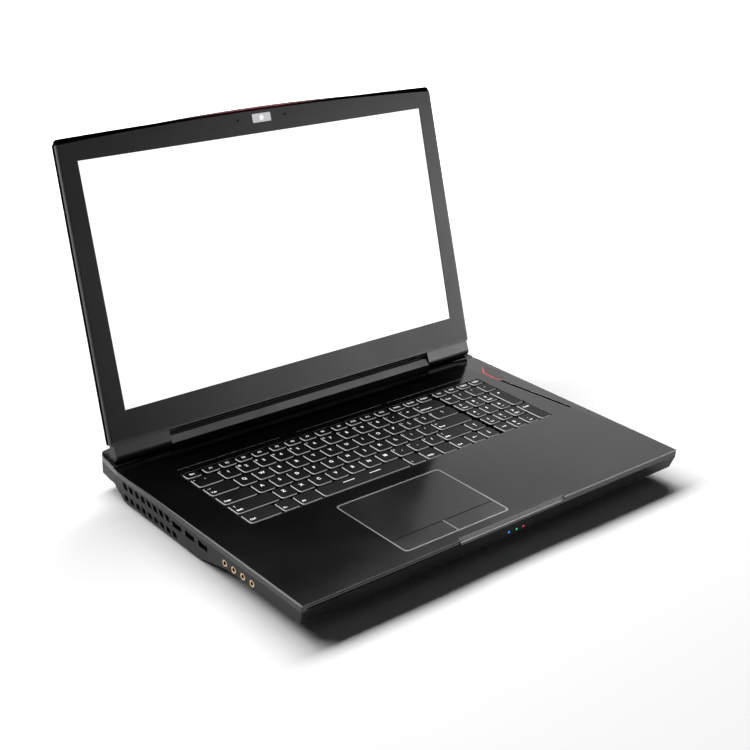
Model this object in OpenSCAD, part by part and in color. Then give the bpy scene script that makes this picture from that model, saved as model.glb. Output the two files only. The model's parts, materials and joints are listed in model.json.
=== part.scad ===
// Large folding laptop computer: a wedge-bottomed base with a full keyboard and an arched display lid.
// Millimetres. X runs to the right, Y to the back and Z up from the table.
// The lid stands at its working angle, and the origin lies under the middle of the whole machine.

/* [Base] */
// Width of the base
base_w = 427.5; // [415:0.5:450]
// Depth of the base, front edge to tail
base_d = 298; // [296:1:315]
// Height of the base from its belly to the deck
base_t = 29; // [28:0.5:34]
// Height of the front wall, deck to lower edge
front_t = 18.6; // [17.5:0.1:20]
// Height of the tail, deck to underside
tail_t = 16; // [15.5:0.5:18]
// Height of the upper casing, deck to parting line
seam_t = 5; // [4.8:0.1:5.4]
// Wall thickness of the casings
wall = 2; // [1.6:0.1:2.4]
// Thickness of the deck's top skin
deck_skin = 1.8; // [1.5:0.1:2.2]
// How far the lower edge of a side wall leans in
side_lean = 2; // [1:0.1:3]
// How far the lower edge of the front wall leans in
front_lean = 4.6; // [3:0.1:6]
// Distance from the side and front walls to the deep belly
belly_inset = 24; // [20:1:28]
// Height of the rubber feet
foot_h = 2; // [1.5:0.1:3]
// Radius of a round rubber foot
foot_r = 9; // [7:0.5:11]

/* [Lid] */
// Width of the lid at its hinge edge
lid_w = 422; // [418:0.5:426]
// How much narrower the lid is at its top corners
lid_taper = 6; // [0:0.5:10]
// Thickness of the lid
lid_t = 8; // [7.6:0.1:10]
// Height of the lid's top corners above the hinge axis
lid_h = 268.5; // [266:0.5:275]
// Rise of the arched top edge in its middle
lid_arch = 5.5; // [3:0.5:8]
// Angle between the closed and the working position
open_angle = 107.2; // [95:0.1:120]
// Thickness of the lid's casing walls
lid_wall = 1.5; // [1.2:0.1:1.8]
// Gap between the closed lid and the deck
lid_gap = 1; // [0.8:0.1:1.5]

/* [Screen] */
// Width of the bezel beside the picture
bezel_side = 19.95; // [19:0.05:24]
// Height of the visible picture, 17.3 inch diagonal
screen_h = 214.9; // [208:0.1:216]
// Height of the picture's lower edge above the hinge axis
screen_rise = 36.5; // [34:0.5:40]
// Thickness of the bezel over the panel
bezel_t = 1.1; // [0.8:0.1:1.4]
// Thickness of the display panel
panel_t = 3.2; // [2.6:0.1:3.4]

/* [Hinge] */
// Distance of the hinge axis from the front edge
hinge_y = 275.6; // [272:0.1:280]
// Depth of the hinge axis behind the bezel
hinge_depth = 5; // [4.6:0.1:5.4]
// Radius of the hinge barrels and of the spine between them
barrel_r = 6.3; // [6:0.1:6.6]
// Distance from the hinge axis to the lid's lower edge
lid_foot = 9; // [8.6:0.1:10]
// Length of one hinge barrel
barrel_l = 55.5; // [45:0.5:60]
// Radius of a hinge pin
pin_r = 1.8; // [1.5:0.1:1.9]
// Length of a hinge pin
pin_l = 46; // [36:1:56]

/* [Keyboard] */
// Distance from one letter key to the next
key_pitch = 18.6; // [18:0.1:18.8]
// Distance from one row of keys to the next
row_pitch = 18.5; // [18:0.1:18.8]
// Distance from one number-pad key to the next
pad_pitch = 16.3; // [15.5:0.1:16.8]
// Gap between neighbouring keycaps
key_gap = 2; // [1.4:0.1:2.4]
// Depth of a function key's cell
function_d = 12; // [10:0.5:14]
// Distance a key travels
key_travel = 1.6; // [1.2:0.1:1.8]
// Height of a keycap
key_h = 2.4; // [2:0.1:2.6]
// Height of the keycaps' tops above the deck
key_rise = 0.4; // [0.1:0.1:0.5]
// Width of the letter block, Tab to Backspace
block_w = 282.5; // [280:0.5:286]
// Distance from the front edge to the lowest row of keys
keys_y = 119; // [116:0.5:121]
// Radius of a keycap's corners
key_r = 2.8; // [1.5:0.1:3.2]

/* [Touchpad] */
// Width of the touchpad with its trim
touchpad_w = 113.8; // [100:0.1:120]
// Depth of the touchpad with its trim
touchpad_d = 88.5; // [80:0.5:92]
// Distance of the touchpad's middle to the left of the base's middle
touchpad_left = 45.7; // [40:0.1:52]
// Distance of the touchpad from the front edge
touchpad_y = 12.5; // [11:0.5:15]
// Depth of the two touchpad buttons
click_d = 18.6; // [16:0.1:22]
// Width of the bright trim line
trim_line = 1; // [0.8:0.1:1.5]
// Distance a touchpad button travels
click_travel = 0.6; // [0.4:0.1:0.8]

/* [Buttons] */
// Length of the power button
power_l = 40; // [34:1:42]
// Width of the power button
power_w = 17; // [12:0.5:18]
// Length of one shortcut button
shortcut_l = 27; // [22:0.5:28]
// Width of a shortcut button
shortcut_w = 3; // [2.5:0.1:4]
// Distance a deck button travels
button_travel = 0.6; // [0.4:0.1:0.8]

/* [Cooling] */
// Radius of a fan rotor
rotor_r = 30; // [26:0.5:32]
// Height of a fan housing
fan_h = 13; // [12:0.5:14]
// Blades on one fan rotor
rotor_blades = 17; // [11:2:23]
// Distance from one side vent slot to the next
vent_pitch = 9.5; // [9:0.1:10]
// Width of a side vent slot
vent_w = 6.4; // [5:0.1:7]
// Slots in the upper row of side vents
vent_slots = 8; // [6:1:8]
// Width of a cooling slot in the underside
intake_w = 2.4; // [2:0.1:3]
// Distance from one rear vent slot to the next
rear_vent_pitch = 7; // [6.5:0.1:7.5]
// Width of a rear vent slot
rear_vent_w = 4.4; // [3.5:0.1:5]

/* [Sockets] */
// Radius of the hole in an audio socket
jack_r = 1.8; // [1.75:0.05:1.9]
// Outer radius of an audio socket's ring
jack_ring_r = 2.9; // [2.6:0.1:3.2]
// Distance from one audio socket to the next
jack_pitch = 12.1; // [11:0.1:14]
// Width of a USB socket's mouth
usb_w = 12.6; // [12.4:0.1:13]
// Height of a USB socket's mouth
usb_h = 5.2; // [5:0.1:5.6]
// Distance from one USB socket to the next
usb_pitch = 18.9; // [17:0.1:20]
// Width of the network socket's mouth
lan_w = 11.8; // [11.7:0.1:12.4]
// Height of the network socket's mouth
lan_h = 7.4; // [7:0.1:8]
// Radius of the power inlet's mouth
dc_r = 3.7; // [3:0.1:3.9]
// Height of a video socket's mouth
video_h = 4.6; // [4.4:0.1:5]
// Width of the card slot
card_w = 25; // [24.5:0.1:26]
// Height of the card slot
card_h = 2.6; // [2.4:0.1:3]

/* [Fits] */
// Clearance round a piece that moves or drops in
slip = 0.3; // [0.25:0.05:0.4]
// Radial clearance between a pin and its bore
run_fit = 0.05; // [0.02:0.01:0.1]

/* [Hidden] */

smooth = 96;
nib = 0.01;
fit = slip / 3;
half_w = base_w / 2;
deck_z = foot_h + base_t;
seam_z = deck_z - seam_t;
tilt = open_angle - 90;
lid_back = lid_t - hinge_depth;
hinge_z = deck_z + lid_gap + hinge_depth;
arch_h = lid_h + lid_arch;
screen_w = lid_w - 2 * bezel_side;
rear_y = max(base_d, hinge_y + arch_h * sin(tilt) + lid_back * cos(tilt));

// Outline of the base
front_r = 1.5;
rear_r = 2;
flank_r = 20;
flank_y = base_d - 38;
tail_in = [3.5, 7];
rear_lean = 3;

// Hinge recess and tail
recess_r = barrel_r + 0.5;
recess_front = hinge_y - recess_r;
recess_rear = hinge_y + recess_r;
recess_z = hinge_z - recess_r;
tail_rise = hinge_depth + lid_gap + 3.4;
tail_front = recess_rear + slip;
tail_rear = base_d - 1;
tail_side = 6.5;
tail_lip = 0.8;
hinge_side = 2.45;
barrel_x = lid_w / 2 - hinge_side - barrel_l;
barrel_skin = 1.3;
barrel_flat = 5.2;
recess_x = barrel_x + barrel_l + 1.2;
spine_w = 2 * (barrel_x - 2 * slip);
spine_end = 1.6;
spine_skin = 1;
ridge_z = -1.7;
crest_w = 2.35;
crest_z = 4;
ridge_miter = 0.31;
crest_miter = 0.52;
lip_z = 7;
lip_front = -1;
lip_back = 2.4;
lip_x = barrel_x - 9.5;
knuckle_r = pin_r + 1.5;
knuckle_l = 12;
knuckle_x = barrel_x + 3;
leaf_l = 40;
leaf_h = 48;
leaf_t = 1.2;
leaf_hole_r = 1.5;
pin_x = knuckle_x + knuckle_l + 1;
bracket_l = 28;
bracket_t = 3;
bracket_wall = 1.1;

// Keyboard
keys_x = -half_w + 40;
pad_gap = 3.5;
well_gap = 0.9;
well_x = keys_x - well_gap;
well_w = block_w + pad_gap + 4 * pad_pitch - key_gap + 2 * well_gap;
well_y = keys_y - well_gap;
well_d = 5 * row_pitch + function_d - key_gap + 2 * well_gap;
well_r = 1.5;
tray_rim = 3;
tray_wall = 2.5;
key_top = deck_z + key_rise;
key_foot = key_top - key_h;
plate_t = 1.2;
plate_z = key_foot - key_travel - slip - plate_t;
stem = 5;
cap_step = 0.35;
skirt_h = key_h - 1;
first_w = [33.5, 44.5, 35.5, 30.5, 27];
function_w = 17.2;
function_break = (block_w - 16 * function_w) / 4;
arrow_w = 17.5;
shift_w = block_w - first_w[1] - 10 * key_pitch - arrow_w;
space_w = 97.5;
fn_w = 18.5;
alt_w = 23.5;
after_space = first_w[0] + fn_w + alt_w + space_w;
small_w = (block_w - 2 * arrow_w - after_space) / 4;

// Touchpad
touchpad_x = -touchpad_left - touchpad_w / 2;
touchpad_r = 3.5;
pad_drop = 0.3;
pad_skin = 1.2;
pad_fit = 0.05;
pad_board_t = 1.2;
pad_board_rim = 4;
click_w = (touchpad_w - 3 * trim_line) / 2;

// Fold line of the deck's margins, through one point beside the keyboard
fold_in = 11;
fold_y = 119;
fold_turn = 7.6;
fold_drop = 2.2;

// Deck buttons
power_at = [half_w - 13.05, 226.35];
power_turn = 72.8;
power_cut = [4.5, 4.2];
shortcut_at = [half_w - 21.35, 204.1];
shortcut_turn = 97.3;
shortcut_gap = 2;
shortcut_drop = 0.2;
light_w = 0.85;
light_drop = 0.2;

// Front edge
strip_in = 5;
strip_l = 153;
strip_y = 1.2;
strip_t = 2.2;
strip_drop = 2.4;
notch_l = 120;
notch_y = 3.2;
notch_foot = 0.9;
notch_z = 2.6;
groove_y = well_y + well_d + 8;
groove_w = 0.6;
groove_t = 0.4;
groove_spans = [[42, 150], [170, 270], [278, 385]];
led_x = [2.2, 11.2, 19.2];
led_r = 1;
led_l = 7.5;
led_z = deck_z - 14.2;

// Underside
ledge_y = 100;
belly_slope = 6;
belly_full_y = 142;
belly_rear_y = 256;
tail_y = 269;
floor_z = foot_h + wall;
ledge_z = deck_z - front_t + wall;
tail_floor = deck_z - tail_t + wall;
belly_x = half_w - belly_inset - wall - belly_slope;
screw_r = 1.5;
screw_head_r = 3;
screw_head_t = 1;
screw_l = 7;
screw_slot = [3.2, 0.7, 0.4];
foot_spots = [for (side = [-1, 1], spot = [[62, 48], [24, 243]]) [side * (half_w - spot.x), spot.y]];
screw_at = [[belly_x - 4, 42], [belly_x - 4, 160], [60, 108], [belly_x - 75.95, 130]];
screw_spots = [for (side = [-1, 1], spot = screw_at) [side * spot.x, spot.y]];

// Boards and what they carry
fan_side = 66;
fan_rim = 6;
board_w = 2 * (half_w - fan_side - rotor_r - fan_rim - 11.75);
board_d = 138;
board_y = 112;
board_z = floor_z + 11;
board_t = 1.6;
board_top = board_z + board_t;
board_hole_r = 1.6;
post_r = 3;
post_in = 6;
socket_board_x = [half_w - 24, half_w - 5];
socket_board_y = [54, 178];
socket_board_t = 1.2;
chip_x = 50;
chip_y = board_y + 78;
sink_w = 48;
sink_t = 2.9;
sink_top = board_top + sink_t;
pipe_w = 7;
pipe_t = 2.6;
pipe_shift = 9;
memory_w = 68;
memory_d = 32;
memory_t = 3.2;
memory_chip = [8, 12, 1];
card_board = [30, 22, 2];
card_shield = [20, 15, 1.4];
battery_y = 50;
plug = [56, 3, 6];
drive = [70, 100, 9.5];
drive_x = belly_x - 2.75 - drive.x;
drive_y = 50;
battery = [2 * (drive_x - 9), 52, 16];
drive_label = 3;
speaker = [56, 13, 10];
speaker_x = 52;
speaker_y = 34;
cone_r = 3.6;
woofer = [58, 70, 16];
woofer_x = belly_x - 5.75 - woofer.x;
woofer_y = 62;
woofer_r = 22;

// Fans, fins and vents
fan_x = half_w - fan_side;
fan_y = 214;
fan_skin = 0.8;
fan_eye = 7;
fan_pin_r = 1.5;
hub_r = 10;
blade_t = 1;
fin_x = [fan_x + rotor_r + 8, half_w - 12];
fin_d = 2 * (rotor_r + 4);
fin_pitch = 3;
fin_t = 0.8;
fin_foot = 1;
vent_y = fan_y + 2 - vent_slots * vent_pitch / 2;
vent_z = [deck_z - 14.4, deck_z - 7.4];
low_vent_y = vent_y - 7.5;
low_vent_z = [foot_h + 2.6, foot_h + 8.6];
rear_vents = 12;
rear_vent_x = half_w - 97.75;
rear_vent_z = deck_z - 13.6;
rear_vent_h = 7.6;
intake_pitch = 4.6;

// Sockets
function side_in(z) = side_lean * max(0, seam_z - z) / (front_t - seam_t);
side_face = half_w - side_in(deck_z - 12.4) - 0.2;
socket_depth = 14;
socket_board_top = ledge_z + socket_board_t;
usb_wall = 0.5;
usb_y = 130.5;
right_usb_y = 64;
usb_z = socket_board_top + usb_wall + usb_h / 2;
usb_spots = [for (i = [0:2]) usb_y + i * usb_pitch];
right_usb_spots = [for (i = [0:1]) right_usb_y + i * usb_pitch];
tongue_in = 1.2;
tongue_z = [0.2, 2];
audio_y = 63.6;
audio_z = socket_board_top + jack_r + 0.6;
audio_spots = [for (i = [0:3]) audio_y + i * jack_pitch];
audio_w = 8.8;
audio_rise = 3.2;
ring_l = 3.2;
ring_out = 0.2;
lan_y = 168;
lan_wall = 0.8;
lan_z = socket_board_top + lan_wall + lan_h / 2;
card_y = 118;
card_wall = 1;
card_l = 18;
card_z = socket_board_top + card_wall + card_h / 2;
rear_face = base_d - 1.6;
dc_x = -72;
dc_wall = 0.5;
dc_depth = 11;
dc_pin_r = 1.1;
dc_z = tail_floor + dc_wall + dc_r;
video_wall = 0.6;
video_depth = 10;
video_tongue_in = 1.4;
video_tongue_z = [-0.5, 0.7];
video_z = tail_floor + video_wall + video_h / 2;
video_w = [[-38, 14.4], [-10, 7.8], [10, 7.8]];

// Lid
rim_back = 0.4;
low_r = 2;
high_r = 3;
arch_steps = 24;
trim_half = lid_w / 2 - 66;
trim_rise = 1.5;
trim_root = 0.8;
trim_front = -hinge_depth + 1.6;
trim_back = lid_back - 2.4;
crease_w = 3;
crease_t = 0.5;
crease_gap = 14;
crease_foot = lid_w / 2 - 141;
crease_fold = lid_w / 2 - 83;
crease_head = lid_w / 2 - 125;
crease_z = lid_h - 118.5;
bezel_gap = 0.15;
panel_edge = 4;
panel_tab = [120, 1.4, 12];
camera_z = lid_h - 3.5;
camera = [14, 2, 7];
camera_board = [72, 0.8, 6];
mic_x = 26.5;
mic_r = 0.6;
window_w = 20.4;
window_h = 8;
window_t = 0.5;
window_in = 0.05;

// Whole-machine placing
module in_place() translate([0, -rear_y / 2, 0]) children();

// The lid's own frame: X across, Z up the lid from the hinge axis, and -Y towards the user
module on_lid() in_place() translate([0, hinge_y, hinge_z]) rotate([-tilt, 0, 0]) children();

// Solid drawn in X and Z and given its thickness from y0 to y1
module lid_slab(y0, y1) translate([0, y1, 0]) rotate([90, 0, 0]) linear_extrude(y1 - y0) children();

// Solid drawn in Y and Z and stretched from x0 to x1
module across(x0, x1) translate([x0, 0, 0]) rotate([90, 0, 90]) linear_extrude(x1 - x0) children();

// Solid drawn in X and Y between two heights
module between(z0, z1) translate([0, 0, z0]) linear_extrude(z1 - z0) children();

// Box from its lowest and highest corners
module box(low, high) translate(low) cube(high - low);

// The same thing on the left and on the right
module both_sides() {
    children();
    mirror([1, 0, 0]) children();
}

// Corner q between p and s, rounded to radius r in five steps
function unit(v) = v / norm(v);
function corner(p, q, s, r) =
    let (a = unit(p - q), b = unit(s - q), half = acos(a * b) / 2, c = q + unit(a + b) * r / sin(half))
    let (from = q + a * r / tan(half) - c, to = q + b * r / tan(half) - c)
    let (start = atan2(from.y, from.x), turn = (atan2(to.y, to.x) - start + 540) % 360 - 180)
    [for (i = [0:5]) c + r * [cos(start + turn * i / 5), sin(start + turn * i / 5)]];

// Outline whose points are [x, y, corner radius]
function flat(p) = [p.x, p.y];
function softened(points) =
    let (n = len(points))
    [for (i = [0:n - 1]) each points[i].z > 0
        ? corner(flat(points[(i + n - 1) % n]), flat(points[i]), flat(points[(i + 1) % n]), points[i].z)
        : [flat(points[i])]];

// Rectangle with rounded corners
function round_box(x0, y0, x1, y1, r) = softened([[x0, y0, r], [x1, y0, r], [x1, y1, r], [x0, y1, r]]);

// ---- Base casings ----

// Plan of the base, drawn in by inset all round
module base_plan(inset = 0) {
    w = half_w - inset;
    shoulder_y = base_d - tail_in.y;
    polygon(softened([[-w, inset, front_r], [w, inset, front_r], [w, flank_y, flank_r],
        [w - tail_in.x, shoulder_y, rear_r], [w - tail_in.y, base_d - inset, rear_r],
        [tail_in.y - w, base_d - inset, rear_r], [tail_in.x - w, shoulder_y, rear_r],
        [-w, flank_y, flank_r]]));
}

// Side view of the lower casing from its parting line down
module base_side(inset = 0) {
    over = inset > 0 ? 1 : 0;
    under = deck_z - tail_t + inset;
    polygon([[inset, seam_z + over], [inset, seam_z], [front_lean + inset, deck_z - front_t + inset],
        [ledge_y, deck_z - front_t + inset], [belly_full_y, foot_h + inset],
        [belly_rear_y - inset, foot_h + inset], [belly_rear_y + 5 - inset, foot_h + 6 + inset],
        [tail_y - inset, under], [base_d - rear_lean - inset, under], [base_d - inset, seam_z],
        [base_d - inset, seam_z + over]]);
}

// Front view of the lower casing
module base_end(inset = 0) {
    top = half_w - inset;
    low = top - side_in(foot_h);
    over = inset > 0 ? 1 : 0;
    polygon([[-top, seam_z + over], [-top, seam_z], [-low, foot_h], [low, foot_h], [top, seam_z],
        [top, seam_z + over]]);
}

// Solid drawn in X and Z and stretched over the base's whole depth
module along() translate([0, base_d, 0]) rotate([90, 0, 0]) linear_extrude(base_d) children();

// Deep middle of the underside, hidden behind the shallow rim
module belly(inset = 0) {
    w = half_w - belly_inset - inset;
    low = foot_h + inset;
    high = deck_z - front_t;
    front = belly_inset + inset;
    rear = belly_rear_y - inset;
    intersection() {
        across(-w, w) polygon([[front, seam_z], [front, high], [front + belly_slope, low], [rear, low],
            [rear, seam_z]]);
        along() polygon([[-w, seam_z], [-w, high], [belly_slope - w, low], [w - belly_slope, low], [w, high],
            [w, seam_z]]);
    }
}

module lower_form(inset = 0) {
    intersection() {
        across(-half_w, half_w) base_side(inset);
        between(foot_h, seam_z + (inset > 0 ? 1 : 0)) base_plan(inset);
        along() base_end(inset);
    }
    belly(inset);
}

// One slanted vent slot through a side wall
module vent_slot(y, span) {
    lean = (span[1] - span[0]) / 4;
    across(-half_w - 1, -half_w + 12)
        polygon([[y, span[0]], [y + vent_w, span[0]], [y + vent_w + lean, span[1]], [y + lean, span[1]]]);
}

module side_vent_cuts() {
    for (i = [0:vent_slots - 1]) vent_slot(vent_y + i * vent_pitch, vent_z);
    for (i = [0:vent_slots]) vent_slot(low_vent_y + i * vent_pitch, low_vent_z);
}

module rear_vent_cuts() {
    for (i = [0:rear_vents - 1]) translate([rear_vent_x + i * rear_vent_pitch, base_d - 8, rear_vent_z])
        cube([rear_vent_w, 12, rear_vent_h]);
}

// Intake slots under one fan
module intake_cuts() {
    for (i = [-5:5]) {
        x = fan_x + i * intake_pitch;
        l = sqrt(pow(rotor_r - 4, 2) - pow(i * intake_pitch, 2));
        box([x - intake_w / 2, fan_y - l, foot_h - 1], [x + intake_w / 2, fan_y + l, floor_z + 1]);
    }
}

module screw_cuts() {
    for (p = screw_spots) translate([p.x, p.y, foot_h - 1]) {
        cylinder(h = wall + 2, r = screw_r + fit, $fn = smooth);
        cylinder(h = 1 + screw_head_t, r = screw_head_r + fit, $fn = smooth);
    }
}

module bottom_cover() {
    color("#3a3a3c") in_place() difference() {
        lower_form();
        lower_form(wall);
        both_sides() {
            side_vent_cuts();
            rear_vent_cuts();
            intake_cuts();
        }
        left_socket_cuts();
        right_socket_cuts();
        rear_socket_cuts();
        led_rods(fit, 12);
        screw_cuts();
    }
}

// Top casing with its openings
module palm_rest_deck() {
    color("#141415") in_place() difference() {
        between(seam_z, deck_z) base_plan();
        difference() {
            between(seam_z - 1, deck_z - deck_skin) base_plan(wall);
            box([-half_w, recess_front - 2, recess_z - deck_skin], [half_w, base_d, deck_z]);
        }
        between(seam_z - 1, recess_z - deck_skin) intersection() {
            base_plan(wall);
            translate([-half_w, recess_front - 3]) square([base_w, base_d]);
        }
        box([-recess_x, recess_front, recess_z], [recess_x, recess_rear, deck_z + 1]);
        between(deck_z - 3, deck_z + 1) {
            polygon(round_box(well_x, well_y, well_x + well_w, well_y + well_d, well_r));
            touchpad_plan(-fit);
            power_plan(slip + light_w + pad_fit);
            shortcut_slot();
        }
        margin_bevels();
        finger_notch();
        box([-half_w + strip_in, -1, seam_z - 1],
            [-half_w + strip_in + strip_l, strip_y + strip_t, deck_z - 0.9]);
        grooves();
    }
}

// Shallow slope down to each side edge, folded along a line beside the keyboard
module margin_bevels() {
    both_sides() intersection() {
        box([0, -1, deck_z - 3], [half_w + 1, recess_front - 1, deck_z + 2]);
        translate([half_w - fold_in, fold_y, deck_z]) rotate([0, 0, fold_turn]) rotate([0, fold_drop, 0])
            translate([0, -base_d, 0]) cube([60, 2 * base_d, 4]);
    }
}

// Bevelled notch for a finger under the lid
module finger_notch() {
    x = -half_w + strip_in + strip_l;
    across(x, x + notch_l) polygon([[-1, deck_z + 1], [notch_y, deck_z + 1], [notch_y, deck_z],
        [notch_foot, deck_z - notch_z], [-1, deck_z - notch_z]]);
}

// Thin engraved line behind the keyboard
module grooves() {
    for (span = groove_spans) box([span[0] - half_w, groove_y, deck_z - groove_t],
        [span[1] - half_w, groove_y + groove_w, deck_z + 1]);
}

module touchpad_plan(inset) {
    polygon(round_box(touchpad_x + inset, touchpad_y + inset, touchpad_x + touchpad_w - inset,
        touchpad_y + touchpad_d - inset, touchpad_r));
}

// Long six-sided button with its pointed ends towards the hinge and the user
module power_plan(grow) {
    l = power_l / 2 + grow;
    w = power_w / 2 + grow;
    translate(power_at) rotate(power_turn)
        polygon([[-l, 0], [power_cut.x - l, -w + power_cut.y], [0, -w], [l, 0], [0, w],
            [power_cut.x - l, w - power_cut.y]]);
}

module shortcut_frame() translate(shortcut_at) rotate(shortcut_turn + 180) children();

module shortcut_slot() {
    shortcut_frame() translate([-slip, -shortcut_w / 2 - slip])
        square([3 * shortcut_l + 2 * shortcut_gap + 2 * slip, shortcut_w + 2 * slip]);
}

// Raised tail behind the lid, hollow underneath
module rear_vent_cover() {
    x = half_w - tail_side;
    top = deck_z + tail_rise;
    color("#2c2c2e") in_place() difference() {
        intersection() {
            across(-x, x) polygon([[tail_front, deck_z], [tail_front, top - tail_lip],
                [tail_front + tail_lip, top], [tail_front + 3 * tail_lip, top - tail_lip / 2],
                [tail_rear, deck_z + tail_lip], [tail_rear, deck_z]]);
            between(deck_z, top) base_plan(0.4);
        }
        across(wall - x, x - wall) polygon([[tail_front + wall, deck_z - 1], [tail_front + wall, top - 3.5],
            [tail_rear - 2 * wall, deck_z - 1]]);
    }
}

// Section of the spine: upright walls on the recess floor, and a slope up to a narrow crest
module spine_section(inset) {
    r = barrel_r - inset;
    low = -recess_r - (inset > 0 ? 1 : 0);
    ridge = ridge_z - ridge_miter * inset;
    crest = crest_w - crest_miter * inset;
    top = crest_z - inset;
    on_axis() polygon([[-r, low], [r, low], [r, ridge], [crest, top], [-crest, top], [-r, ridge]]);
}

// Fixed cover between the two hinge barrels
module hinge_spine_cover() {
    color("#6c6c70") in_place() difference() {
        across(-spine_w / 2, spine_w / 2) spine_section(0);
        across(-spine_w / 2 + spine_end, spine_w / 2 - spine_end) spine_section(spine_skin);
        across(-half_w, half_w) on_axis() circle(r = pin_r + 2 * fit, $fn = smooth);
    }
}

// ---- Keyboard ----

// Plan of a keycap with round corners
module key_plan(x, y, w, d, r) {
    translate([x + r, y]) square([w - 2 * r, d]);
    translate([x, y + r]) square([w, d - 2 * r]);
    for (cx = [x + r, x + w - r], cy = [y + r, y + d - r]) translate([cx, cy]) circle(r = r, $fn = smooth);
}

// One keycap: skirt, cap and square guide stem
module keycap(x, y, w, d) {
    mid = [x + w / 2, y + d / 2];
    between(key_foot, key_foot + skirt_h) key_plan(x, y, w, d, key_r);
    between(key_foot + skirt_h - nib, key_top)
        key_plan(x + cap_step, y + cap_step, w - 2 * cap_step, d - 2 * cap_step, key_r - cap_step);
    box([mid.x - stem / 2, mid.y - stem / 2, plate_z + plate_t / 2],
        [mid.x + stem / 2, mid.y + stem / 2, key_foot + nib]);
}

// A row of keys is [row, cells, rows spanned], and a cell is [x from the keyboard's left edge, width]
function row_y(row) = keys_y + row * row_pitch;
function row_d(line) = (line[0] == 5 ? function_d : line[2] * row_pitch) - key_gap;
function run(start, width, count) = [for (i = [0:count - 1]) [start + i * width, width]];
function rest(start) = [start, block_w - start];
function pad_cell(column) = [block_w + pad_gap + column * pad_pitch, pad_pitch];
function pad_run(count) = [for (i = [0:count - 1]) pad_cell(i)];
function function_cell(i) =
    [i * function_w + function_break * (i == 0 ? 0 : i < 5 ? 1 : i < 9 ? 2 : i < 13 ? 3 : 4), function_w];

function_group = [[5, [for (i = [0:15]) function_cell(i)], 1]];
navigation_group = [[5, pad_run(4), 1]];
number_group = [[4, concat([[0, first_w[4]]], run(first_w[4], key_pitch, 12)), 1]];
upper_group = [[3, concat(run(first_w[3], key_pitch, 12), [rest(first_w[3] + 12 * key_pitch)]), 1]];
home_group = [[2, run(first_w[2], key_pitch, 11), 1]];
lower_group = [[1, run(first_w[1], key_pitch, 10), 1]];
modifier_group = [[0, concat([[0, first_w[0]], [first_w[0], fn_w], [first_w[0] + fn_w, alt_w]],
    run(after_space, small_w, 4)), 1]];
space_group = [[0, [[first_w[0] + fn_w + alt_w, space_w]], 1]];
enter_group = [[2, [rest(first_w[2] + 11 * key_pitch)], 1]];
shift_group = [[1, [[0, first_w[1]], [first_w[1] + 10 * key_pitch, shift_w]], 1]];
backspace_group = [[4, [rest(first_w[4] + 12 * key_pitch)], 1]];
caps_group = [[2, [[0, first_w[2]]], 1], [3, [[0, first_w[3]]], 1]];
arrow_group = [[1, [rest(block_w - arrow_w)], 1],
    [0, concat(run(block_w - 2 * arrow_w, arrow_w, 2), [pad_cell(0)]), 1]];
pad_group = [[0, [pad_cell(1), pad_cell(2)], 1], [1, pad_run(3), 1], [2, pad_run(3), 1], [3, pad_run(3), 1],
    [4, pad_run(4), 1]];
tall_group = [[0, [pad_cell(3)], 2], [2, [pad_cell(3)], 2]];
all_groups = concat(function_group, navigation_group, number_group, upper_group, home_group, lower_group,
    modifier_group, space_group, enter_group, shift_group, backspace_group, caps_group, arrow_group,
    pad_group, tall_group);

module keys(group) {
    color("#1a1a1c") in_place() for (line = group, c = line[1])
        keycap(keys_x + c[0], row_y(line[0]), c[1] - key_gap, row_d(line));
}

module function_keys() keys(function_group);
module navigation_keys() keys(navigation_group);
module number_row_keys() keys(number_group);
module upper_letter_keys() keys(upper_group);
module home_letter_keys() keys(home_group);
module lower_letter_keys() keys(lower_group);
module modifier_keys() keys(modifier_group);
module space_bar() keys(space_group);
module enter_key() keys(enter_group);
module shift_keys() keys(shift_group);
module backspace_key() keys(backspace_group);
module caps_and_tab_keys() keys(caps_group);
module arrow_keys() keys(arrow_group);
module number_pad_keys() keys(pad_group);
module number_pad_tall_keys() keys(tall_group);

// Tray under the keys, with one square guide hole for each stem
module keyboard_plate() {
    low = [well_x - tray_rim, well_y - tray_rim, plate_z];
    high = [well_x + well_w + tray_rim, well_y + well_d + tray_rim, deck_z - deck_skin];
    hole = stem + 2 * slip;
    color("#202022") in_place() difference() {
        box(low, high);
        box(low + [tray_wall, tray_wall, plate_t], high + [-tray_wall, -tray_wall, 1]);
        for (line = all_groups, c = line[1])
            translate([keys_x + c[0] + (c[1] - key_gap - hole) / 2,
                row_y(line[0]) + (row_d(line) - hole) / 2, plate_z - 1])
                cube([hole, hole, plate_t + 2]);
    }
}

// ---- Touchpad and buttons ----

// Bright frame round the touchpad, with the bar between its two buttons
module touchpad_trim() {
    color("#c8c8cc") in_place() {
        between(deck_z - deck_skin, deck_z) difference() {
            touchpad_plan(0);
            touchpad_plan(trim_line);
        }
        box([-touchpad_left - trim_line / 2, touchpad_y + trim_line - nib, deck_z - deck_skin],
            [-touchpad_left + trim_line / 2, touchpad_y + trim_line + click_d, deck_z - 0.1]);
    }
}

// Touch surface in the trim, and its board under the deck
module touchpad_surface() {
    low = deck_z - deck_skin - pad_board_t;
    color("#1b1b1c") in_place() {
        between(deck_z - pad_drop - pad_skin, deck_z - pad_drop) intersection() {
            touchpad_plan(trim_line + pad_fit);
            translate([touchpad_x, touchpad_y + trim_line + click_d + slip]) square([touchpad_w, touchpad_d]);
        }
        box([touchpad_x - pad_board_rim, touchpad_y + click_d + 5, low],
            [touchpad_x + touchpad_w + pad_board_rim, touchpad_y + touchpad_d + pad_board_rim,
            low + pad_board_t]);
    }
}

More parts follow.
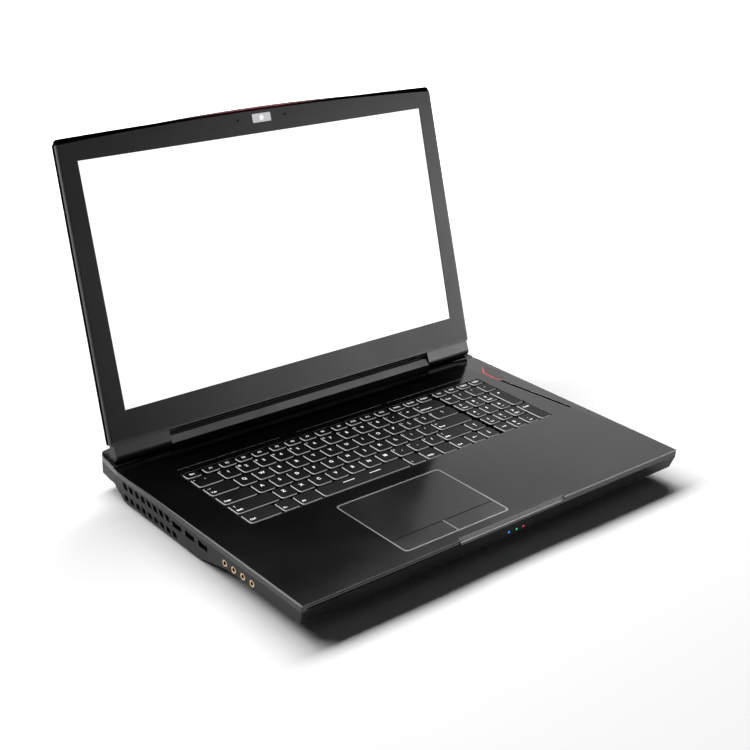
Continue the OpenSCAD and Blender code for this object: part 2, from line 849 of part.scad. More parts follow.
module touchpad_button(side) {
    x = -touchpad_left + side * (trim_line / 2 + slip);
    low = deck_z - pad_drop - deck_skin - click_travel;
    color("#1b1b1c") in_place() intersection() {
        between(low, deck_z - pad_drop) touchpad_plan(trim_line + slip);
        box([side > 0 ? x : x - click_w, touchpad_y, low],
            [side > 0 ? x + click_w : x, touchpad_y + trim_line + click_d, deck_z]);
    }
}

module touchpad_button_left() touchpad_button(-1);
module touchpad_button_right() touchpad_button(1);

module power_button_light() {
    color("#c01822") in_place() between(deck_z - deck_skin, deck_z - light_drop) difference() {
        power_plan(slip + light_w);
        power_plan(slip);
    }
}

module power_button() {
    color("#1a1a1c") in_place() between(deck_z - deck_skin - button_travel, deck_z) power_plan(0);
}

module shortcut_button(i) {
    top = deck_z - shortcut_drop;
    color("#050505") in_place() between(top - deck_skin - button_travel, top) shortcut_frame()
        translate([i * (shortcut_l + shortcut_gap), -shortcut_w / 2]) square([shortcut_l, shortcut_w]);
}

module shortcut_button_rear() shortcut_button(0);
module shortcut_button_middle() shortcut_button(1);
module shortcut_button_front() shortcut_button(2);

// Glossy strip in the recess under the deck's front edge
module front_light_strip() {
    x = -half_w + strip_in;
    color("#26262a") in_place()
        box([x, strip_y, seam_z], [x + strip_l, strip_y + strip_t, deck_z - strip_drop]);
}

// Rods through the front wall, where the status lights sit
module led_rods(gap, l) {
    for (x = led_x) translate([x, -1, led_z]) rotate([-90, 0, 0])
        cylinder(h = l + 1, r = led_r + gap, $fn = smooth);
}

module status_leds() {
    color("#3060c0") in_place() intersection() {
        led_rods(0, led_l);
        across(-half_w, half_w) base_side(-0.1);
    }
}

// ---- Inside the base ----

// Main board on four posts, and a socket board on each side ledge
module motherboard() {
    x = board_w / 2 - post_in;
    color("#1d5a3a") in_place() {
        difference() {
            box([-board_w / 2, board_y, board_z], [board_w / 2, board_y + board_d, board_top]);
            for (side = [-1, 1], y = [post_in, board_d - post_in])
                translate([side * x, board_y + y, board_z - 1])
                    cylinder(h = board_t + 2, r = board_hole_r, $fn = smooth);
        }
        for (side = [-1, 1], y = [3 * post_in, board_d - 3 * post_in])
            translate([side * x, board_y + y, floor_z])
                cylinder(h = board_z - floor_z, r = post_r, $fn = smooth);
        both_sides() box([socket_board_x[0], socket_board_y[0], ledge_z],
            [socket_board_x[1], socket_board_y[1], socket_board_top]);
    }
}

module processor_heat_sink() {
    color("#b87333") in_place() both_sides()
        box([chip_x - sink_w / 2, chip_y - sink_w / 2, board_top],
            [chip_x + sink_w / 2, chip_y + sink_w / 2, sink_top]);
}

module heat_pipes() {
    color("#c27a3c") in_place() both_sides() for (y = [-pipe_shift, pipe_shift])
        box([chip_x - sink_w / 2 + 2, chip_y + y - pipe_w / 2, sink_top],
            [fin_x[1], chip_y + y + pipe_w / 2, sink_top + pipe_t]);
}

// Two stacks of thin fins between the fans and the side vents
module cooling_fins() {
    y0 = fan_y - fin_d / 2;
    color("#c89060") in_place() both_sides() {
        box([fin_x[0], y0, floor_z], [fin_x[1], y0 + fin_d, floor_z + fin_foot]);
        for (y = [y0:fin_pitch:y0 + fin_d - fin_t])
            box([fin_x[0], y, floor_z + fin_foot], [fin_x[1], y + fin_t, sink_top]);
    }
}

// Blower housing, open to the fins, with a spider and pin for the rotor
module fan_housing() {
    r = rotor_r + fan_rim;
    inner = fan_h - 2 * fan_skin;
    translate([fan_x, fan_y, floor_z]) {
        difference() {
            box([-r, -r, 0], [r, r, fan_h]);
            translate([0, 0, fan_skin]) cylinder(h = inner, r = rotor_r + 2, $fn = smooth);
            translate([0, 0, -1]) cylinder(h = fan_h + 2, r = rotor_r - fan_eye, $fn = smooth);
            box([0, -rotor_r + 4, fan_skin], [r + 1, rotor_r - 4, fan_skin + inner]);
        }
        for (turn = [0, 60, 120]) rotate(turn)
            box([fan_rim - rotor_r, -2, 0], [rotor_r - fan_rim, 2, fan_skin]);
        cylinder(h = fan_h - 2, r = fan_pin_r, $fn = smooth);
    }
}

module fan_housings() {
    color("#232325") in_place() both_sides() fan_housing();
}

module fan_rotor() {
    low = floor_z + fan_skin + slip;
    color("#38383b") in_place() between(low, low + fan_h - 2 * fan_skin - 2 * slip)
        translate([fan_x, fan_y]) difference() {
            union() {
                circle(r = hub_r, $fn = smooth);
                for (i = [0:rotor_blades - 1]) rotate(i * 360 / rotor_blades) translate([hub_r - 0.6, 0])
                    rotate(-25) translate([0, -blade_t / 2]) square([rotor_r - hub_r - 1, blade_t]);
            }
            circle(r = fan_pin_r + run_fit, $fn = smooth);
        }
}

module fan_rotor_right() fan_rotor();
module fan_rotor_left() mirror([1, 0, 0]) fan_rotor();

module battery_pack() {
    rear = battery_y + battery.y;
    color("#2b2b30") in_place() {
        box([-battery.x / 2, battery_y, floor_z], [battery.x / 2, rear, floor_z + battery.z]);
        box([-plug.x / 2, rear, floor_z + 2], [plug.x / 2, rear + plug.y, floor_z + 2 + plug.z]);
    }
}

module storage_drive() {
    color("#9a9aa0") in_place() translate([drive_x, drive_y, floor_z]) {
        cube(drive);
        translate([drive_label, drive_label, drive.z])
            cube([drive.x - 2 * drive_label, drive.y - 2 * drive_label, 0.4]);
    }
}

// Two stacked memory modules, with chips on the upper one
module memory_modules() {
    y = board_y + 4;
    low = board_top + memory_t;
    color("#1f6a45") in_place() {
        box([-memory_w / 2, y, board_top], [memory_w / 2, y + memory_d, low]);
        box([-memory_w / 2, y, low], [memory_w / 2, y + memory_d, low + 1.2]);
        for (i = [-3, -2, -1, 1, 2, 3])
            translate([i * (memory_chip.x + 1) - memory_chip.x / 2, y + 8, low + 1.2]) cube(memory_chip);
    }
}

module wireless_card() {
    color("#2f5f9a") in_place() translate([10 - board_w / 2, board_y + 6, board_top]) {
        cube(card_board);
        translate([3, 4, card_board.z]) cube(card_shield);
    }
}

// Two front speakers and one woofer
module speakers() {
    color("#17171a") in_place() {
        both_sides() translate([speaker_x, speaker_y, floor_z]) difference() {
            cube(speaker);
            for (x = [speaker.x / 4, speaker.x * 3 / 4]) translate([x, -1, speaker.z / 2]) rotate([-90, 0, 0])
                cylinder(h = 4, r = cone_r, $fn = smooth);
        }
        mirror([1, 0, 0]) translate([woofer_x, woofer_y, floor_z]) difference() {
            cube(woofer);
            translate([woofer.x / 2, woofer.y / 2, -1]) cylinder(h = 5, r = woofer_r, $fn = smooth);
        }
    }
}

// ---- Sockets ----

// Body of a socket, d wide and h high about y and z, from x inwards by l, all grown by gap
module socket_block(x, y, z, d, h, l, gap = 0) {
    box([x, y - d / 2 - gap, z - h / 2 - gap], [x + l, y + d / 2 + gap, z + h / 2 + gap]);
}

// USB socket on the left side: shell with a contact tongue
module usb_socket(y) {
    x = -side_face;
    difference() {
        socket_block(x, y, usb_z, usb_w, usb_h, socket_depth, usb_wall);
        socket_block(x - 1, y, usb_z, usb_w, usb_h, socket_depth);
    }
    box([x + 1, y - usb_w / 2 + tongue_in, usb_z + tongue_z[0]],
        [x + socket_depth - 1 + nib, y + usb_w / 2 - tongue_in, usb_z + tongue_z[1]]);
}

module usb_sockets() {
    color("#8a8a90") in_place() {
        for (y = usb_spots) usb_socket(y);
        mirror([1, 0, 0]) for (y = right_usb_spots) usb_socket(y);
    }
}

// Audio sockets, each a block on the socket board with a ring in the side wall
module audio_sockets() {
    x = -side_face;
    color("#b08a3c") in_place() for (y = audio_spots) difference() {
        union() {
            box([x + wall + 0.4, y - audio_w / 2, socket_board_top],
                [x + socket_depth, y + audio_w / 2, audio_z + audio_rise]);
            translate([x - ring_out, y, audio_z]) rotate([0, 90, 0])
                cylinder(h = ring_l, r = jack_ring_r, $fn = smooth);
        }
        translate([x - 1, y, audio_z]) rotate([0, 90, 0])
            cylinder(h = socket_depth - 1, r = jack_r, $fn = smooth);
    }
}

module network_socket() {
    color("#77777c") in_place() difference() {
        socket_block(side_face - socket_depth, lan_y, lan_z, lan_w, lan_h, socket_depth, lan_wall);
        socket_block(side_face - socket_depth + 1, lan_y, lan_z, lan_w, lan_h, socket_depth);
    }
}

module card_reader() {
    color("#55555a") in_place() difference() {
        socket_block(side_face - card_l, card_y, card_z, card_w, card_h, card_l, card_wall);
        socket_block(side_face - card_l + 1, card_y, card_z, card_w, card_h, card_l);
    }
}

module left_socket_cuts() {
    for (y = usb_spots) usb_cut(y);
    for (y = audio_spots) translate([-half_w - 1, y, audio_z]) rotate([0, 90, 0])
        cylinder(h = 7, r = jack_ring_r + fit, $fn = smooth);
}

module usb_cut(y) socket_block(-half_w - 1, y, usb_z, usb_w, usb_h, 8, usb_wall + fit);

module right_socket_cuts() {
    mirror([1, 0, 0]) for (y = right_usb_spots) usb_cut(y);
    socket_block(half_w - 7, lan_y, lan_z, lan_w, lan_h, 8, lan_wall + fit);
    socket_block(half_w - 7, card_y, card_z, card_w, card_h, 8, card_wall + fit);
}

// Body of a rear socket, w wide and h high about x and z, between two depths
module rear_block(x, z, w, h, y0, y1, gap = 0) {
    box([x - w / 2 - gap, y0, z - h / 2 - gap], [x + w / 2 + gap, y1, z + h / 2 + gap]);
}

// Rod along Y from y1 towards the user
module rear_rod(x, z, r, y1, l) translate([x, y1, z]) rotate([90, 0, 0]) cylinder(h = l, r = r, $fn = smooth);

// Power inlet and three video sockets in the tail
module rear_sockets() {
    color("#6a6a70") in_place() {
        difference() {
            rear_block(dc_x, dc_z, 2 * dc_r, 2 * dc_r, rear_face - socket_depth, rear_face, dc_wall);
            rear_rod(dc_x, dc_z, dc_r, rear_face + 1, dc_depth + 1);
        }
        rear_rod(dc_x, dc_z, dc_pin_r, rear_face - 1, dc_depth);
        for (v = video_w) video_socket(v[0], v[1]);
    }
}

module video_socket(x, w) {
    back = rear_face - video_depth;
    difference() {
        rear_block(x, video_z, w, video_h, back - 1, rear_face, video_wall);
        rear_block(x, video_z, w, video_h, back, rear_face + 1);
    }
    box([x - w / 2 + video_tongue_in, back - nib, video_z + video_tongue_z[0]],
        [x + w / 2 - video_tongue_in, rear_face - 1, video_z + video_tongue_z[1]]);
}

module rear_socket_cuts() {
    y = base_d - rear_lean - wall - fit;
    rear_block(dc_x, dc_z, 2 * dc_r, 2 * dc_r, y, base_d + 1, dc_wall + fit);
    for (v = video_w) rear_block(v[0], video_z, v[1], video_h, y, base_d + 1, video_wall + fit);
}

module rubber_feet() {
    color("#101012") in_place() for (p = foot_spots) translate([p.x, p.y, 0])
        cylinder(h = foot_h, r = foot_r, $fn = smooth);
}

module case_screws() {
    color("#909096") in_place() for (p = screw_spots) translate([p.x, p.y, foot_h + fit]) difference() {
        union() {
            cylinder(h = screw_head_t - fit, r = screw_head_r, $fn = smooth);
            cylinder(h = screw_l, r = screw_r, $fn = smooth);
        }
        for (turn = [0, 90]) rotate(turn) translate([0, 0, screw_slot.z / 2]) cube(screw_slot, center = true);
    }
}

// ---- Hinges ----

// The hinge axis, for sections drawn in Y and Z
module on_axis() translate([hinge_y, hinge_z]) children();

// Steel bracket of one hinge, standing in the spine
module hinge_brackets() {
    x1 = spine_w / 2 - spine_end - slip;
    x0 = x1 - bracket_l;
    half = barrel_r - barrel_skin - slip;
    color("#8c8c92") in_place() both_sides() difference() {
        union() {
            across(x0, x1) on_axis() circle(r = pin_r + bracket_wall, $fn = smooth);
            box([x0, hinge_y - bracket_t / 2, recess_z], [x1, hinge_y + bracket_t / 2, hinge_z - pin_r]);
            box([x0, hinge_y - half, recess_z], [x1, hinge_y + half, recess_z + leaf_t]);
        }
        across(x0 - 1, x1 + 1) on_axis() circle(r = pin_r + 0.02, $fn = smooth);
    }
}

module hinge_pins() {
    color("#b4b4ba") in_place() both_sides() across(pin_x - pin_l, pin_x)
        on_axis() circle(r = pin_r, $fn = smooth);
}

// Section of a hinge barrel and its neck, in the lid's frame
module barrel_section(inset) {
    r = barrel_r - inset;
    top = lid_foot + (inset > 0 ? 1 : 0);
    intersection() {
        circle(r = r, $fn = smooth);
        translate([-2 * r, -2 * r]) square([2 * r + barrel_flat - inset, 4 * r]);
    }
    polygon([[-hinge_depth + inset, top], [-r * 0.97, r * 0.24], [-1, -1], [r * 0.6, -1],
        [lid_back - inset, 3], [lid_back - inset, top]]);
}

module hinge_covers() {
    x1 = barrel_x + barrel_l;
    color("#3a3a3d") on_lid() both_sides() difference() {
        across(barrel_x, x1) barrel_section(0);
        across(barrel_x + barrel_skin, x1 - barrel_skin) barrel_section(barrel_skin);
        across(barrel_x - 1, barrel_x + 3) circle(r = pin_r + slip, $fn = smooth);
    }
}

// Lid half of one hinge: a knuckle on the pin and a plate up the lid
module hinge_leaves() {
    x1 = knuckle_x + knuckle_l;
    y1 = lid_back - lid_wall;
    color("#8c8c92") on_lid() both_sides() difference() {
        union() {
            across(knuckle_x, x1) circle(r = knuckle_r, $fn = smooth);
            box([knuckle_x, y1 - leaf_t, 0], [x1, y1, lid_foot + 4]);
            box([knuckle_x, y1 - leaf_t, lid_foot + 3], [knuckle_x + leaf_l, y1, lid_foot + leaf_h]);
        }
        across(knuckle_x - 1, x1 + 1) circle(r = pin_r + run_fit, $fn = smooth);
        for (z = [14, 28, 42]) translate([knuckle_x + leaf_l / 2, y1 + 1, lid_foot + z]) rotate([90, 0, 0])
            cylinder(h = leaf_t + 2, r = leaf_hole_r, $fn = smooth);
    }
}

// ---- Lid ----

// Height of the lid's arched top edge at x
function arch_z(x) = lid_h + lid_arch * (1 - pow(2 * x / (lid_w - lid_taper), 2));

// Outline of the lid in X and Z, drawn in by inset
function lid_outline(inset) =
    let (low = lid_w / 2 - inset, high = (lid_w - lid_taper) / 2 - inset)
    softened(concat([[-low, lid_foot + inset, low_r], [low, lid_foot + inset, low_r],
            [high, lid_h - inset, high_r]],
        [for (i = [1:arch_steps - 1]) let (x = high * (1 - 2 * i / arch_steps)) [x, arch_z(x) - inset, 0]],
        [[-high, lid_h - inset, high_r]]));

module lid_back_cover() {
    inner = lid_back - lid_wall;
    color("#1c1c1e") on_lid() difference() {
        union() {
            lid_slab(-hinge_depth + rim_back, lid_back) polygon(lid_outline(0));
            lid_slab(lip_front, lip_back) polygon([[-lip_x + lid_foot - lip_z, lip_z],
                [lip_x - lid_foot + lip_z, lip_z], [lip_x, lid_foot + nib], [-lip_x, lid_foot + nib]]);
        }
        lid_slab(-hinge_depth - 1, inner) polygon(lid_outline(lid_wall));
        both_sides() box([knuckle_x - slip, inner - leaf_t - slip, lid_foot - 1],
            [knuckle_x + knuckle_l + slip, inner + nib, lid_foot + 5]);
        lid_slab(trim_front, trim_back) trim_band(fit);
        back_grooves();
    }
}

// Strip along the middle of the top edge, thickest in its centre
module trim_band(gap) {
    w = trim_half + gap;
    over = gap > 0 ? 3 : 0;
    polygon(concat([for (i = [0:arch_steps]) let (x = w * (1 - 2 * i / arch_steps))
            [x, arch_z(x) + trim_rise * (1 - pow(x / w, 2)) + over]],
        [for (i = [0:arch_steps]) let (x = w * (2 * i / arch_steps - 1))
            [x, arch_z(x) - trim_root - gap]]));
}

module lid_top_trim() {
    color("#8a2030") on_lid() lid_slab(trim_front + fit, trim_back - fit) trim_band(0);
}

// Two shallow grooves that fold across each half of the lid's back
module back_grooves() {
    both_sides() for (shift = [0, crease_gap])
        lid_slab(lid_back - crease_t, lid_back + 1) polygon([[crease_foot + shift, lid_foot - 1],
            [crease_foot + crease_w + shift, lid_foot - 1], [crease_fold + shift, crease_z],
            [crease_head + shift, lid_h + 20], [crease_head - crease_w + shift, lid_h + 20],
            [crease_fold - crease_w + shift, crease_z]]);
}

// Flat rectangle w wide in the lid, between two heights
module lid_window(w, z0, z1) translate([-w / 2, z0]) square([w, z1 - z0]);

module display_bezel() {
    color("#28282a") on_lid() difference() {
        lid_slab(-hinge_depth, -hinge_depth + bezel_t) polygon(lid_outline(lid_wall + bezel_gap));
        lid_slab(-hinge_depth - 1, 0) {
            lid_window(screen_w, screen_rise, screen_rise + screen_h);
            webcam_plan(fit);
        }
        for (x = [-mic_x, mic_x]) translate([x, 0, camera_z]) rotate([90, 0, 0])
            cylinder(h = hinge_depth + 1, r = mic_r, $fn = smooth);
    }
}

module display_panel() {
    low = screen_rise - panel_edge;
    front = -hinge_depth + bezel_t;
    back = front + panel_t;
    color("#f4f4f4") on_lid() {
        lid_slab(front, back) lid_window(screen_w + 2 * panel_edge, low, low + screen_h + 2 * panel_edge);
        lid_slab(back - panel_tab.y, back) lid_window(panel_tab.x, low - panel_tab.z, low);
    }
}

module webcam_plan(gap) {
    polygon(round_box(-window_w / 2 - gap, camera_z - window_h / 2 - gap, window_w / 2 + gap,
        camera_z + window_h / 2 + gap, 1));
}

module webcam_window() {
    front = -hinge_depth + window_in;
    color("#b9b9bd") on_lid() lid_slab(front, front + window_t) webcam_plan(0);
}

module webcam_module() {
    front = -hinge_depth + window_in + window_t;
    back = front + camera.y;
    color("#203020") on_lid() {
        lid_slab(front, back) lid_window(camera.x, camera_z - camera.z / 2, camera_z + camera.z / 2);
        lid_slab(back, back + camera_board.y)
            lid_window(camera_board.x, camera_z - camera_board.z / 2, camera_z + camera_board.z / 2);
    }
}

bottom_cover();
palm_rest_deck();
rear_vent_cover();
hinge_spine_cover();
keyboard_plate();
touchpad_trim();
touchpad_surface();
power_button_light();
front_light_strip();
status_leds();
motherboard();
processor_heat_sink();
heat_pipes();
cooling_fins();
fan_housings();
battery_pack();
storage_drive();
memory_modules();
wireless_card();
speakers();
usb_sockets();
audio_sockets();
rear_sockets();
network_socket();
card_reader();
rubber_feet();
case_screws();
hinge_brackets();
hinge_pins();
lid_back_cover();
lid_top_trim();
display_bezel();
display_panel();
webcam_window();
webcam_module();
hinge_covers();
hinge_leaves();
power_button();
shortcut_button_front();
shortcut_button_middle();
shortcut_button_rear();
touchpad_button_left();
touchpad_button_right();
fan_rotor_left();
fan_rotor_right();
function_keys();
navigation_keys();
number_row_keys();
upper_letter_keys();
home_letter_keys();
lower_letter_keys();
modifier_keys();
space_bar();
enter_key();
shift_keys();
backspace_key();
caps_and_tab_keys();
arrow_keys();
number_pad_keys();
number_pad_tall_keys();
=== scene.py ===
"""Looks for the laptop computer: materials, key legends, screen picture, floor, lights and camera."""

import json
import math

import bpy
from mathutils import Matrix, Vector


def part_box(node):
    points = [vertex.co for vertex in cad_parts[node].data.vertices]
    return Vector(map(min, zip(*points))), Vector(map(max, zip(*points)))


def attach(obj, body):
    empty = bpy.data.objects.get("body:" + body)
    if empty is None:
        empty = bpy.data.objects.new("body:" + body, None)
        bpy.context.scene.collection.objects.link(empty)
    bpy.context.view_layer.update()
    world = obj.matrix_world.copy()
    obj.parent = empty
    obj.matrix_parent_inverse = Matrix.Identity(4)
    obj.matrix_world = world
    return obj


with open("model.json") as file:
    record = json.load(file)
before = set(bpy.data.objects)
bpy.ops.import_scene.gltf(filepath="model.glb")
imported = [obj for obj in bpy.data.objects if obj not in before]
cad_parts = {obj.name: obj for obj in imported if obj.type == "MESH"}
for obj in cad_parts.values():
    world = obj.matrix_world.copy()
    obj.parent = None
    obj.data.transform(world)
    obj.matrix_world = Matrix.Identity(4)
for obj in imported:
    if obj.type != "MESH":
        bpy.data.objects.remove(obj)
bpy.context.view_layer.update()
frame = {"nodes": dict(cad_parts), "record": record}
nodes = frame["nodes"]
behaviour = frame["record"]["behaviour"]
body_of_node = {node: body for body, group in behaviour["bodies"].items() for node in group}

# ------------------------------------------------------------------ places, from the frame

MM = 0.001
LIFT = 0.02 * MM  # How far a flat mark stands off the face that it is printed on

deck_low, deck_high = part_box("palm_rest_deck")
lid_joint = next(joint for joint in behaviour["joints"] if joint["name"] == "lid_hinge")
AXIS_Y, AXIS_Z = lid_joint["pos_m"][1:]
LEAN = math.radians(-lid_joint["range_deg"][0] - 90.0)  # How far the lid leans back from upright


def on_lid(x, u, v):
    """A point of the leaning lid: u from its hinge plane towards the back, v up the lid, in mm."""
    return (
        x * MM,
        AXIS_Y + (u * math.cos(LEAN) + v * math.sin(LEAN)) * MM,
        AXIS_Z + (v * math.cos(LEAN) - u * math.sin(LEAN)) * MM,
    )


def solids_of(node):
    """The boxes of a node's separate solids, in metres, as (low, high) pairs."""
    mesh = nodes[node].data
    where, parent = {}, []

    def root(i):
        while parent[i] != i:
            parent[i] = parent[parent[i]]
            i = parent[i]
        return i

    index = []
    for v in mesh.vertices:
        spot = tuple(round(c, 6) for c in v.co)
        if spot not in where:
            where[spot] = len(parent)
            parent.append(where[spot])
        index.append(where[spot])
    for face in mesh.polygons:
        first = root(index[face.vertices[0]])
        for other in face.vertices[1:]:
            parent[root(index[other])] = first
    boxes = {}
    for spot, i in where.items():
        low, high = boxes.setdefault(root(i), (list(spot), list(spot)))
        for axis in range(3):
            low[axis] = min(low[axis], spot[axis])
            high[axis] = max(high[axis], spot[axis])
    return list(boxes.values())


# ------------------------------------------------------------------ materials


class Paint:
    """A material whose nodes are made by short calls."""

    def __init__(self, name):
        self.material = bpy.data.materials.new(name)
        self.material.use_nodes = True
        self.tree = self.material.node_tree
        self.shader = self.tree.nodes["Principled BSDF"]
        self.coords = self.tree.nodes.new("ShaderNodeTexCoord").outputs["Object"]
        self.tone = None

    def node(self, kind, **values):
        made = self.tree.nodes.new(kind)
        for key, value in values.items():
            if key in made.inputs:
                made.inputs[key].default_value = value
            else:
                setattr(made, key, value)
        return made

    def link(self, source, target):
        self.tree.links.new(source, target)

    def noise(self, per_mm, detail=3.0, rough=0.5, stretch=None):
        made = self.node("ShaderNodeTexNoise", Scale=per_mm * 1000, Detail=detail, Roughness=rough)
        source = self.coords
        if stretch:
            moved = self.node("ShaderNodeMapping")
            moved.inputs["Scale"].default_value = stretch
            self.link(source, moved.inputs["Vector"])
            source = moved.outputs["Vector"]
        self.link(source, made.inputs["Vector"])
        return made.outputs["Fac"]

    def ramp(self, source, low, high, start=0.35, end=0.65, smooth=False):
        """low where the source is at start or under it, high where it is at end or over it."""
        kind = "SMOOTHSTEP" if smooth else "LINEAR"
        made = self.node("ShaderNodeMapRange", interpolation_type=kind)
        made.inputs["From Min"].default_value = start
        made.inputs["From Max"].default_value = end
        made.inputs["To Min"].default_value = low
        made.inputs["To Max"].default_value = high
        self.link(source, made.inputs["Value"])
        return made.outputs["Result"]

    def mix(self, factor, first, second):
        made = self.node("ShaderNodeMix", data_type="RGBA")
        self.link(factor, made.inputs["Factor"])
        for value, index in ((first, 6), (second, 7)):
            if isinstance(value, tuple):
                made.inputs[index].default_value = (*value, 1.0)
            else:
                self.link(value, made.inputs[index])
        return made.outputs[2]

    def math(self, operation, *values):
        made = self.node("ShaderNodeMath", operation=operation)
        for index, value in enumerate(values):
            if isinstance(value, (int, float)):
                made.inputs[index].default_value = value
            else:
                self.link(value, made.inputs[index])
        return made.outputs[0]

    def both(self, first, second):
        return self.math("MULTIPLY", first, second)

    def either(self, first, second):
        return self.math("MAXIMUM", first, second)

    def blend(self, cloud, grit, share):
        """Soft patches and fine grain together, the patches taking their share."""
        return self.math("ADD", self.math("MULTIPLY", cloud, share), self.math("MULTIPLY", grit, 1.0 - share))

    def place(self):
        made = self.node("ShaderNodeSeparateXYZ")
        self.link(self.coords, made.inputs[0])
        return made.outputs

    def facing(self):
        """The three parts of the surface's own normal, in the object's axes."""
        normal = self.tree.nodes.new("ShaderNodeTexCoord").outputs["Normal"]
        made = self.node("ShaderNodeSeparateXYZ")
        self.link(normal, made.inputs[0])
        return made.outputs

    def rounded(self, radius_mm):
        """The normal of the surface with its edges rounded."""
        return self.node("ShaderNodeBevel", samples=4, Radius=radius_mm * MM).outputs["Normal"]

    def worn_and_lit_edge(self, radius_mm):
        """1 where the surface turns over an edge."""
        flat = self.tree.nodes.new("ShaderNodeNewGeometry")
        turn = self.node("ShaderNodeVectorMath", operation="DOT_PRODUCT")
        self.link(self.rounded(radius_mm), turn.inputs[0])
        self.link(flat.outputs["Normal"], turn.inputs[1])
        return self.ramp(turn.outputs["Value"], 1.0, 0.0, 0.80, 0.99)

    def below(self, value, level, soft_mm=0.1):
        """1 where a length is under a level, given in metres or as a socket."""
        return self.ramp(self.math("SUBTRACT", value, level), 1.0, 0.0, -soft_mm * MM, soft_mm * MM)

    def colour(self, source):
        self.link(source, self.shader.inputs["Base Color"])

    def glow(self, source):
        self.link(source, self.shader.inputs["Emission Color"])

    def shine(self, source):
        self.link(source, self.shader.inputs["Specular IOR Level"])

    def roughness(self, source):
        self.link(source, self.shader.inputs["Roughness"])

    def bump(self, height, depth_mm, edge_mm=0.0):
        made = self.node("ShaderNodeBump", Strength=1.0, Distance=depth_mm * MM)
        self.link(height, made.inputs["Height"])
        if edge_mm:
            self.link(self.rounded(edge_mm), made.inputs["Normal"])
        self.link(made.outputs["Normal"], self.shader.inputs["Normal"])

    def set(self, **values):
        for key, value in values.items():
            socket = self.shader.inputs[key.replace("_", " ")]
            socket.default_value = (*value, 1.0) if isinstance(value, tuple) else value


def grey(value):
    """A grey with a trace of blue."""
    return (value, value, value * 1.04)


PATCHES = 0.02  # Soft patches per mm on a moulded face
EDGE_WEAR_AND_HIGHLIGHT_RADIUS = 0.6  # Radius in mm over which an edge is lightened, as a worn edge and a painted highlight


def moulded(name, dark, light, rough, grain=1.6, depth=0.012, edge=0.2, wear_and_highlight=None, **more):
    """Moulded or painted plastic: fine grain, soft patches, edges a little rounded, and, where a tone is
    given, edges lightened as worn edges and a painted highlight.

    grain is per mm; depth and edge are in mm."""
    paint = Paint(name)
    cloud = paint.noise(PATCHES, 4.0)
    grit = paint.noise(grain, 2.0)
    blend = paint.blend(cloud, grit, 0.7)
    paint.tone = paint.mix(paint.ramp(blend, 0.0, 1.0), dark, light)
    # Edges lightened in the given tone: partly worn, partly a painted highlight standing in for light caught
    # by the edges
    if wear_and_highlight:
        paint.tone = paint.mix(paint.worn_and_lit_edge(EDGE_WEAR_AND_HIGHLIGHT_RADIUS), paint.tone, wear_and_highlight)
    paint.colour(paint.tone)
    paint.roughness(paint.ramp(blend, *rough))
    paint.bump(grit, depth, edge)
    paint.set(**more)
    return paint


def brushed(name, dark, light, rough=(0.25, 0.4)):
    """Drawn or plated metal with fine lines along one axis."""
    paint = Paint(name)
    lines = paint.noise(0.8, 3.0, 0.6, stretch=(1.0, 12.0, 12.0))
    blend = paint.blend(paint.noise(0.06, 3.0), lines, 0.4)
    paint.colour(paint.mix(paint.ramp(blend, 0.0, 1.0), dark, light))
    paint.roughness(paint.ramp(lines, *rough))
    paint.bump(lines, 0.004, 0.1)
    paint.set(Metallic=1.0)
    return paint


# The edge tones given to the deck, casing and lid are worn edges and painted highlights both
deck = moulded(
    "deck_black", grey(0.0028), grey(0.0042), (0.10, 0.13),
    grain=2.4, depth=0.0015, edge=0.35, wear_and_highlight=grey(0.34), IOR=1.5,
)
button = moulded(
    "button_black", grey(0.0020), grey(0.0034), (0.40, 0.50),
    grain=2.4, depth=0.004, Specular_IOR_Level=0.0,
)
casing = moulded(
    "casing_grey", grey(0.016), grey(0.023), (0.34, 0.46),
    grain=2.0, depth=0.010, edge=0.3, wear_and_highlight=grey(0.14), Specular_IOR_Level=0.15,
)
tray = moulded(
    "tray_black", grey(0.0020), grey(0.0032), (0.35, 0.5),
    depth=0.010, edge=0.15, Specular_IOR_Level=0.2,
)
touch = moulded(
    "touch_black", grey(0.004), grey(0.006), (0.14, 0.17),
    grain=3.0, depth=0.002, Specular_IOR_Level=0.4,
)
strip = moulded("strip_black", grey(0.003), grey(0.005), (0.06, 0.12), grain=2.0, depth=0.002)
lid_black = moulded(
    "lid_black", grey(0.008), grey(0.013), (0.34, 0.38),
    grain=2.0, depth=0.006, edge=0.4, wear_and_highlight=grey(0.06), Specular_IOR_Level=0.2,
)
bezel = moulded(
    "bezel_grey", (0.0060, 0.0060, 0.0070), (0.0090, 0.0090, 0.0105), (0.28, 0.34),
    grain=2.4, depth=0.006, edge=0.25, Specular_IOR_Level=0.10,
)
barrel = moulded(
    "barrel_grey", (0.014, 0.014, 0.015), (0.019, 0.019, 0.020), (0.28, 0.36),
    grain=2.4, depth=0.006, edge=0.25, Specular_IOR_Level=0.20,
)
rubber = moulded("foot_rubber", grey(0.018), grey(0.030), (0.75, 0.9), grain=1.2, depth=0.03, edge=0.4)
fan = moulded("fan_black", grey(0.022), grey(0.034), (0.4, 0.55))
wrap = moulded("battery_wrap", grey(0.035), grey(0.055), (0.45, 0.6), grain=0.8, depth=0.02, edge=0.4)
red_trim = moulded(
    "red_trim", (0.20, 0.010, 0.020), (0.28, 0.016, 0.030), (0.2, 0.3),
    grain=1.5, depth=0.004, edge=0.3, Coat_Weight=0.5,
)
